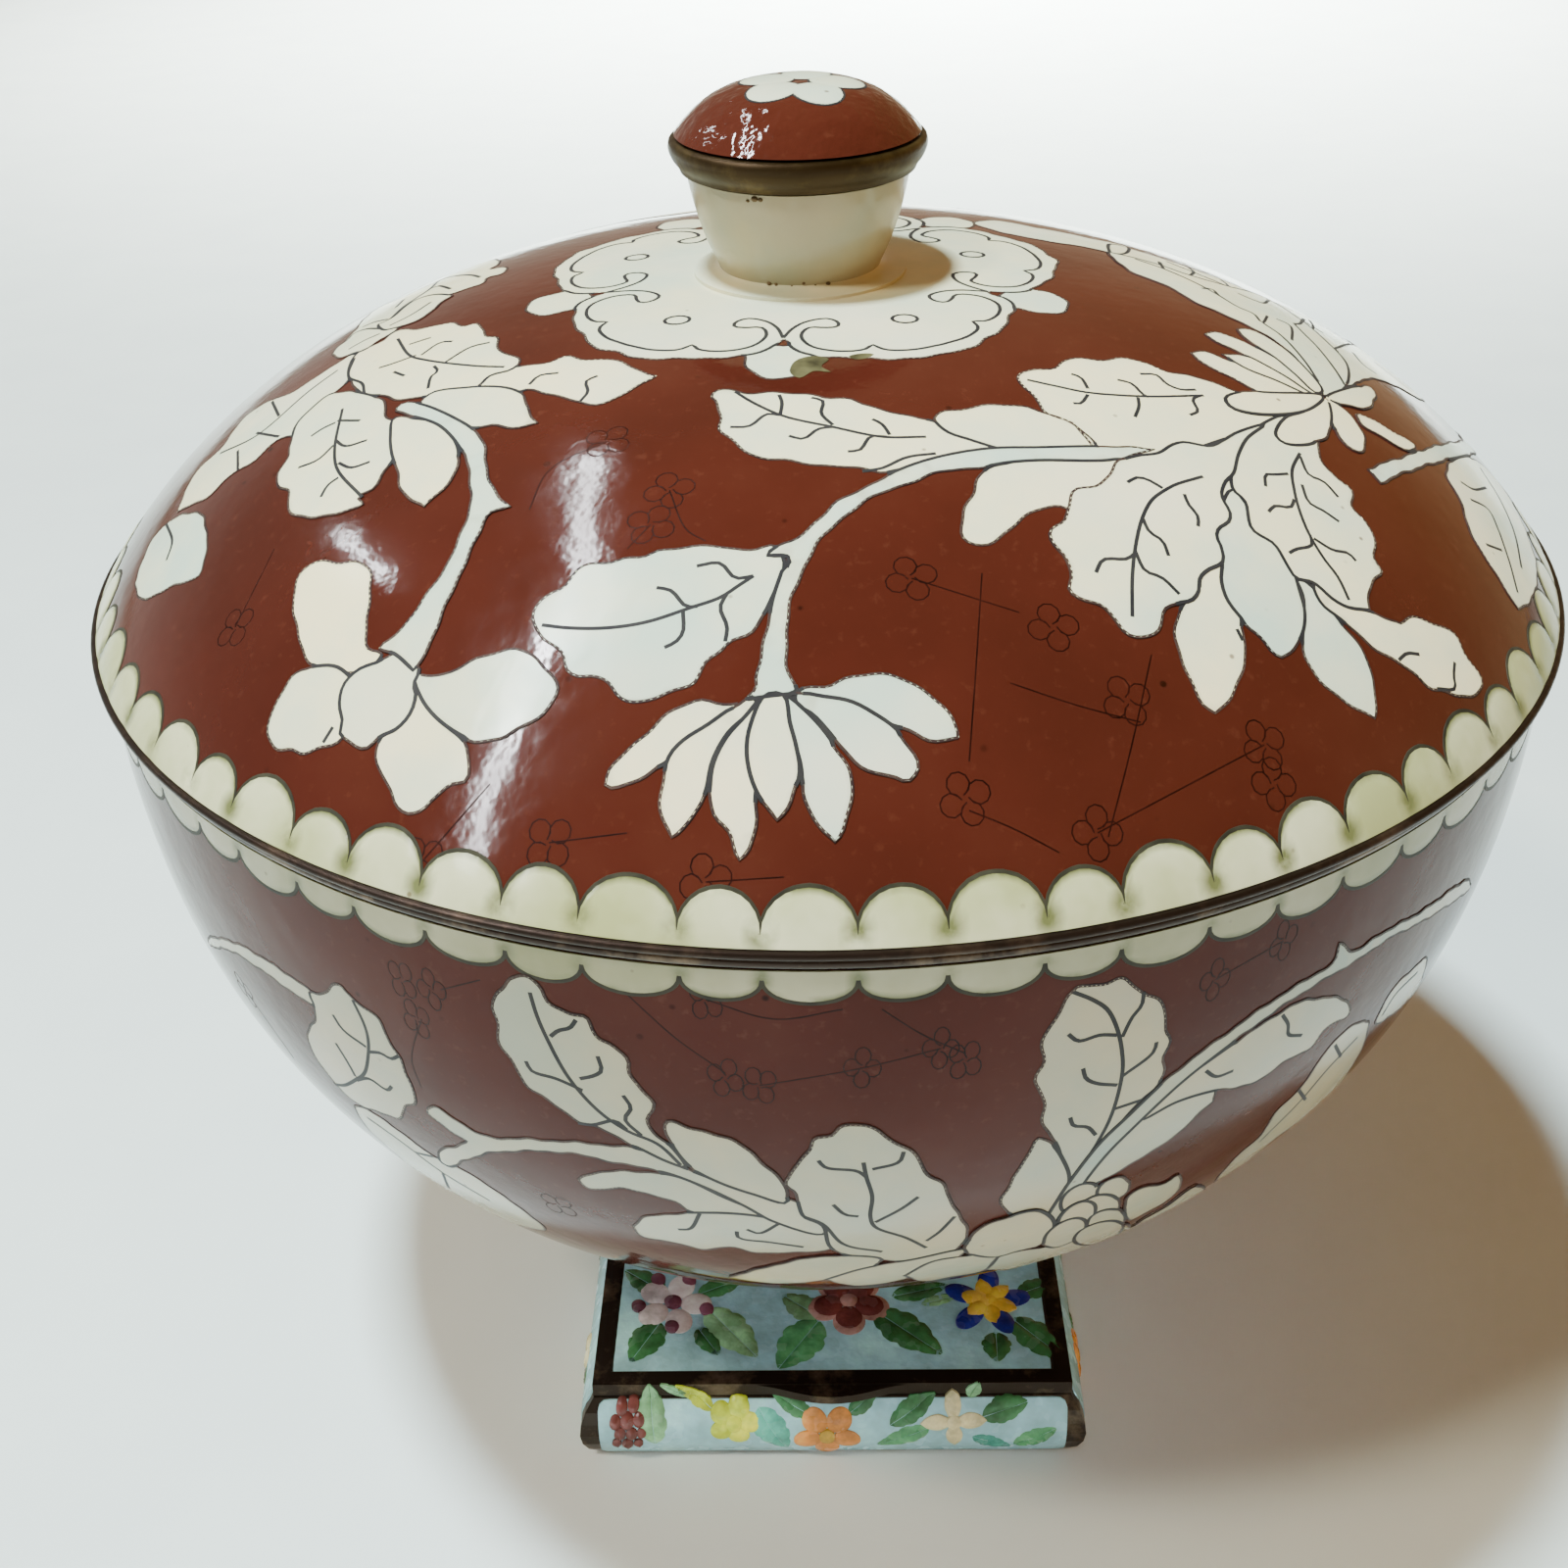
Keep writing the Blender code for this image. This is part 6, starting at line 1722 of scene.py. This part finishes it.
class Casket:
    """Lays panels, flowers and leaves on one face of the casket."""

    def __init__(self, face, cells, reader=None):
        self.face = face
        self.inlay = Inlay(face, cells, cells)
        self.reader = reader or FlatReader(face)

    def panel(self, corners):
        """The blue enamel inside a face's metal border."""
        edge = even_line(corners, 0.8 * MM, closed=True)
        self.inlay.cell(edge, PANEL_LIFT, ENAMEL_ORDER.index("blue"), pitch=1.6 * MM, dome=0.12 * MM,
                        root=0.3 * MM)

    def side_panel(self, half):
        self.panel(rounded_box(half - 0.6 * MM, 0.5 * MM, self.face.height - 0.2 * MM, PANEL_CORNER))

    def shape(self, line, enamel, lift, dome=0.32 * MM, reach=0.9 * MM):
        """Domed enamel inside a line of chart points."""
        edge = even_line(line, 0.4 * MM, closed=True)
        self.inlay.cell(edge, lift, ENAMEL_ORDER.index(enamel), pitch=0.6 * MM, dome=dome, dome_reach=reach,
                        root=0.1 * MM)

    def oval(self, enamel, centre, size, squash, lift, **dome):
        """A domed oval; size is half its width."""
        outline = oval_outline(centre, size, squash * size)
        self.shape(self.reader.line(outline, closed=True), enamel, lift, **dome)

    def leaf(self, enamel, base, tip, width):
        """Two domed halves that meet in a crease, with a toothed edge."""
        line = self.reader.line((base, tip))
        root = line[0]
        along = line[-1] - root
        size = np.linalg.norm(along)
        side = np.array([-along[1], along[0]]) / size
        half = 0.5 * width * size / math.dist(base, tip)
        for sign in (-1.0, 1.0):
            rim = []
            for k in range(LEAF_STEPS + 1):
                share = k / LEAF_STEPS
                bend = math.sin(math.pi * share ** 0.8) ** 0.8 * (1.0 if k % LEAF_TEETH else 0.84)
                rim.append(root + share * along + sign * (bend * half + 0.04 * MM) * side)
            rim.append(root + 0.66 * along + 0.02 * MM * sign * side)
            self.shape(np.vstack(rim), enamel, LEAF_LIFT)

    def flower(self, enamel, centre, petals, reach, width, turn, sharp, lift=FLOWER_LIFT):
        """Domed petals round a heart."""
        line = self.reader.line((centre, (centre[0] + GAUGE, centre[1])))
        middle = line[0]
        scale = np.linalg.norm(line[-1] - middle) / GAUGE
        for k in range(petals):
            angle = turn + 2.0 * math.pi * k / petals - QUARTER
            aim = np.array([math.cos(angle), math.sin(angle)])
            if sharp:
                outline = petal_outline(middle, middle + reach * scale * aim, width * scale)
            else:
                outline = oval_outline(middle + 0.62 * reach * scale * aim, 0.42 * reach * scale,
                                       0.5 * width * scale, angle)
            self.shape(smooth_line(outline, closed=True), enamel, lift + 0.02 * MM * k)


def casket_faces():
    """The casket's four sides and its top, as faces that can be drawn on."""
    shape = settings().jar_shape
    low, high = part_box("stand_case")
    half_x, half_y = high.x - shape.case_swell, high.y - shape.case_swell
    sides = {}
    for name, origin, across, out in (
            ("front", (0.0, -half_y, 0.0), (1.0, 0.0, 0.0), (0.0, -1.0, 0.0)),
            ("right", (half_x, 0.0, 0.0), (0.0, 1.0, 0.0), (1.0, 0.0, 0.0)),
            ("back", (0.0, half_y, 0.0), (-1.0, 0.0, 0.0), (0.0, 1.0, 0.0)),
            ("left", (-half_x, 0.0, 0.0), (0.0, -1.0, 0.0), (-1.0, 0.0, 0.0))):
        sides[name] = FlatFace(origin, across, (0.0, 0.0, 1.0), out, shape.case_swell, high.z - low.z)
    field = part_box("stand_lid")[1].z - FIELD_DROP
    sides["top"] = FlatFace((0.0, 0.0, field), (1.0, 0.0, 0.0), (0.0, 1.0, 0.0), (0.0, 0.0, 1.0))
    return sides, half_x, half_y


def rounded_box(x, y_low, y_high, corner):
    """A rectangle with rounded corners."""
    out = []
    top, low = y_high - corner, y_low + corner
    for sx, y, first in ((1.0, top, 0.0), (-1.0, top, 0.5), (-1.0, low, 1.0), (1.0, low, 1.5)):
        for k in range(5):
            angle = math.pi * (first + 0.125 * k)
            out.append((sx * (x - corner) + corner * math.cos(angle), y + corner * math.sin(angle)))
    return np.array(out)


class JAR_OT_casket(bpy.types.Operator):
    """Build the casket's metal edges, enamel panels and raised flowers"""
    bl_idname = "jar.casket"
    bl_label = "Casket"

    def execute(self, context):
        metal = patinated_metal("casket_metal", (0.034, 0.024, 0.018), (0.19, 0.14, 0.095))
        for name in ("stand_case", "stand_lid"):
            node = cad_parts[name]
            node.data.materials.clear()
            node.data.materials.append(metal)
        faces, half_x, half_y = casket_faces()
        cells = Piece()
        self.lay_top(Casket(faces["top"], cells), half_x - FRAME_WIDTH, half_y - FRAME_WIDTH)
        self.lay_front(Casket(faces["front"], cells), half_x)
        for name, enamels in SIDE_FLOWERS.items():
            half = half_x if name == "back" else half_y
            self.lay_side(Casket(faces[name], cells, ChartReader()), half, enamels)
        finishes = [casket_enamel("casket_blue", context.scene.jar_colours.casket_blue, 0.30, 90.0)]
        finishes += [casket_enamel("casket_" + name, colour, 0.50, 170.0) for name, colour in ENAMELS.items()]
        cells.make("casket_enamels", finishes, "casket_enamel")
        return {"FINISHED"}

    def lay_top(self, top, edge_x, back):
        front_edge = top.reader.line(FIELD_EDGE)
        top.panel(np.vstack([front_edge, [(edge_x, 0.0), (edge_x, back), (-edge_x, back), (-edge_x, 0.0)]]))
        for leaf in TOP_LEAVES:
            top.leaf(*leaf)
        for flower in TOP_FLOWERS:
            rise = UPPER_RISE if flower[0] in UPPER_PETALS else 0.0
            top.flower(*flower, lift=FLOWER_LIFT + rise)
        for spot in PETAL_SPOTS:
            top.oval("purple", spot, 7.5, 0.8, FLOWER_LIFT + 0.3 * MM)
        for heart in TOP_HEARTS:
            top.oval(*heart, 0.7, FLOWER_LIFT + 0.4 * MM)

    def lay_front(self, front, half):
        front.side_panel(half)
        for leaf in FRONT_LEAVES:
            front.leaf(*leaf)
        for flower in FRONT_FLOWERS:
            front.flower(*flower)
        for heart in FRONT_HEARTS:
            front.oval(*heart, 0.8, FLOWER_LIFT + UPPER_RISE)
        for x, y, size in BERRIES:
            front.oval("maroon", (x, y), size, 0.9, 0.5 * MM, dome=0.5 * MM, reach=0.7 * MM)

    def lay_side(self, side, half, enamels):
        side.side_panel(half)
        for k, enamel in enumerate(enamels):
            x = half * (2.0 * (k + 0.5) / len(enamels) - 1.0)
            y = (5.4 + 0.8 * math.sin(2.0 * k)) * MM
            side.flower(enamel, (x, y), 5, 3.6 * MM, 2.9 * MM, 0.4 * k, False)
            heart = smooth_line(oval_outline((x, y), 0.9 * MM, 0.8 * MM), closed=True)
            side.shape(heart, "gold", FLOWER_LIFT + UPPER_RISE)
            for reach, rise, green in SIDE_LEAVES:
                base = (x + 0.45 * reach * MM, y + 0.3 * rise * MM)
                side.leaf(green, base, (x + 1.25 * reach * MM, y + rise * MM), 2.2 * MM)


# Stage

FLOOR_REACH = 2.4
CLIP_START = 0.01
# The room's light from below to above, on the left and on the right
COOL_SIDE = ((0.0, (0.60, 0.58, 0.52)), (0.30, (0.26, 0.24, 0.20)), (1.0, (0.22, 0.16, 0.09)))
WARM_SIDE = ((0.0, (0.66, 0.44, 0.20)), (0.30, (0.40, 0.22, 0.06)), (1.0, (0.26, 0.14, 0.02)))
# Narrow lights overhead, seen as reflections: name, first and last end, width, power
STRIPS = (
    ("strip_0", (-0.39, 0.74), (-0.42, 0.15), 0.028, 3.2),
    ("strip_1", (-0.42, 0.15), (-0.77, -0.34), 0.028, 10.0),
    ("strip_2", (-0.77, -0.34), (-1.26, -0.88), 0.028, 7.5),
    ("strip_side", (-1.21, 0.85), (-0.98, 0.44), 0.024, 2.4))
STRIP_LEVEL = 1.1
STRIP_AIM = Vector((0.0, 0.0, 0.13))
STRIP_LIGHT = (0.94, 0.97, 1.0)
# Soft lights without reflections: name, place, target, size, power, colour, spread in degrees
SOFT_LIGHTS = (
    ("overhead", (-0.278, -0.089, 1.30), (0.0, 0.0, 0.08), 0.14, 43.0, (0.74, 0.96, 1.0), 180.0),
    ("window", (-0.60, -0.46, 1.18), (0.0, 0.0, 0.08), 0.16, 10.5, (1.0, 0.97, 0.72), 180.0),
    ("front_fill", (-0.05, -0.7, 0.5), (0.0, -0.04, 0.0), 0.12, 0.022, (0.88, 0.96, 1.0), 14.0),
    ("room_back", (0.1, 1.25, 1.2), (0.1, 1.25, 0.0), 0.3, 45.0, (0.90, 1.0, 0.93), 76.0))


def axes_at(place, right, up, back):
    """The matrix of an object at a place, from its three axes."""
    return Matrix([*zip(right, up, back, place), (0.0, 0.0, 0.0, 1.0)])


def add_light(name, size, power, colour):
    lamp = bpy.data.lights.new(name, "AREA")
    lamp.energy = power
    lamp.color = colour
    lamp.size = size
    light = bpy.data.objects.new(name, lamp)
    bpy.context.scene.collection.objects.link(light)
    return light


def add_strip(name, first, last, width, power):
    """A narrow light between two places, facing the jar."""
    first, last = Vector((*first, STRIP_LEVEL)), Vector((*last, STRIP_LEVEL))
    middle = 0.5 * (first + last)
    along = (last - first).normalized()
    side = along.cross((middle - STRIP_AIM).normalized()).normalized()
    light = add_light(name, width, power, STRIP_LIGHT)
    light.data.shape = "RECTANGLE"
    light.data.size_y = (last - first).length
    light.matrix_world = axes_at(middle, side, along, side.cross(along))
    light.visible_diffuse = False


def add_soft_light(name, place, target, size, power, colour, spread):
    light = add_light(name, size, power, colour)
    light.data.spread = math.radians(spread)
    light.location = place
    light.rotation_euler = (Vector(target) - Vector(place)).to_track_quat("-Z", "Y").to_euler()
    light.visible_glossy = False


class JAR_OT_stage(bpy.types.Operator):
    """Set the floor, the lights and the camera"""
    bl_idname = "jar.stage"
    bl_label = "Stage"

    def execute(self, context):
        self.set_floor(context.scene)
        self.set_room(context.scene)
        for strip in STRIPS:
            add_strip(*strip)
        for light in SOFT_LIGHTS:
            add_soft_light(*light)
        self.set_camera(context.scene)
        return {"FINISHED"}

    def set_floor(self, scene):
        reach = FLOOR_REACH
        mesh = bpy.data.meshes.new("floor")
        corners = [(-reach, -reach, 0), (reach, -reach, 0), (reach, reach, 0), (-reach, reach, 0)]
        mesh.from_pydata(corners, [], [(0, 1, 2, 3)])
        white = Finish("floor_white")
        clouded = white.ramp(white.noise(30.0), ((0.3, (0.78, 0.80, 0.80)), (0.7, (0.82, 0.84, 0.83))))
        mesh.materials.append(white.dress(clouded, 0.6))
        floor = bpy.data.objects.new("floor", mesh)
        scene.collection.objects.link(floor)

    def set_room(self, scene):
        world = bpy.data.worlds.new("soft_room")
        world.use_nodes = True
        room = Nodes(world.node_tree)
        facing = room.tree.nodes.new("ShaderNodeTexCoord").outputs["Generated"]
        split = room.node("SeparateXYZ", {"Vector": facing})
        cool = room.ramp(split.outputs["Z"], COOL_SIDE)
        warm = room.ramp(split.outputs["Z"], WARM_SIDE)
        sky = room.mix(room.mapped(split.outputs["X"], -0.6, 0.7), cool, warm)
        background = room.tree.nodes["Background"]
        room.put(background.inputs["Color"], sky)
        room.put(background.inputs["Strength"], 1.0)
        scene.world = world

    def set_camera(self, scene):
        look = scene.jar_camera
        eye = Eye()
        lens = bpy.data.cameras.new("camera")
        lens.sensor_width = look.sensor
        lens.lens = look.focal_pixels / look.picture_size * look.sensor
        lens.clip_start = CLIP_START
        camera = bpy.data.objects.new("camera", lens)
        camera.matrix_world = axes_at(eye.place, eye.right, eye.up, -eye.ahead)
        scene.collection.objects.link(camera)
        scene.camera = camera


class JAR_PT_panel(bpy.types.Panel):
    """The jar's settings and the steps that build it"""
    bl_idname = "JAR_PT_panel"
    bl_label = "Cloisonne jar"
    bl_space_type = "VIEW_3D"
    bl_region_type = "UI"
    bl_category = "Jar"

    def draw(self, context):
        for group in (context.scene.jar_shape, context.scene.jar_ornament, context.scene.jar_colours,
                      context.scene.jar_camera):
            box = self.layout.box()
            for name in group.bl_rna.properties.keys():
                if name not in ("rna_type", "name"):
                    box.prop(group, name)
        for operator in STEPS:
            self.layout.operator(operator.bl_idname)


STEPS = (JAR_OT_stage, JAR_OT_lid_body, JAR_OT_bowl_body, JAR_OT_rims, JAR_OT_scallops, JAR_OT_medallion,
         JAR_OT_lid_sprays, JAR_OT_bowl_sprays, JAR_OT_ground_wires, JAR_OT_knob, JAR_OT_casket)
GROUPS = (ShapeSettings, OrnamentSettings, ColourSettings, CameraSettings)


def register():
    for kind in GROUPS + STEPS + (JAR_PT_panel,):
        bpy.utils.register_class(kind)
    bpy.types.Scene.jar_shape = PointerProperty(type=ShapeSettings)
    bpy.types.Scene.jar_ornament = PointerProperty(type=OrnamentSettings)
    bpy.types.Scene.jar_colours = PointerProperty(type=ColourSettings)
    bpy.types.Scene.jar_camera = PointerProperty(type=CameraSettings)


def unregister():
    for name in ("jar_shape", "jar_ornament", "jar_colours", "jar_camera"):
        delattr(bpy.types.Scene, name)
    for kind in reversed(GROUPS + STEPS + (JAR_PT_panel,)):
        bpy.utils.unregister_class(kind)


def main():
    register()
    bpy.ops.jar.stage()
    bpy.ops.jar.lid_body()
    bpy.ops.jar.bowl_body()
    bpy.ops.jar.rims()
    bpy.ops.jar.scallops()
    bpy.ops.jar.medallion()
    bpy.ops.jar.lid_sprays()
    bpy.ops.jar.bowl_sprays()
    bpy.ops.jar.ground_wires()
    bpy.ops.jar.knob()
    bpy.ops.jar.casket()
    bpy.context.view_layer.update()


if __name__ == "__main__":
    main()
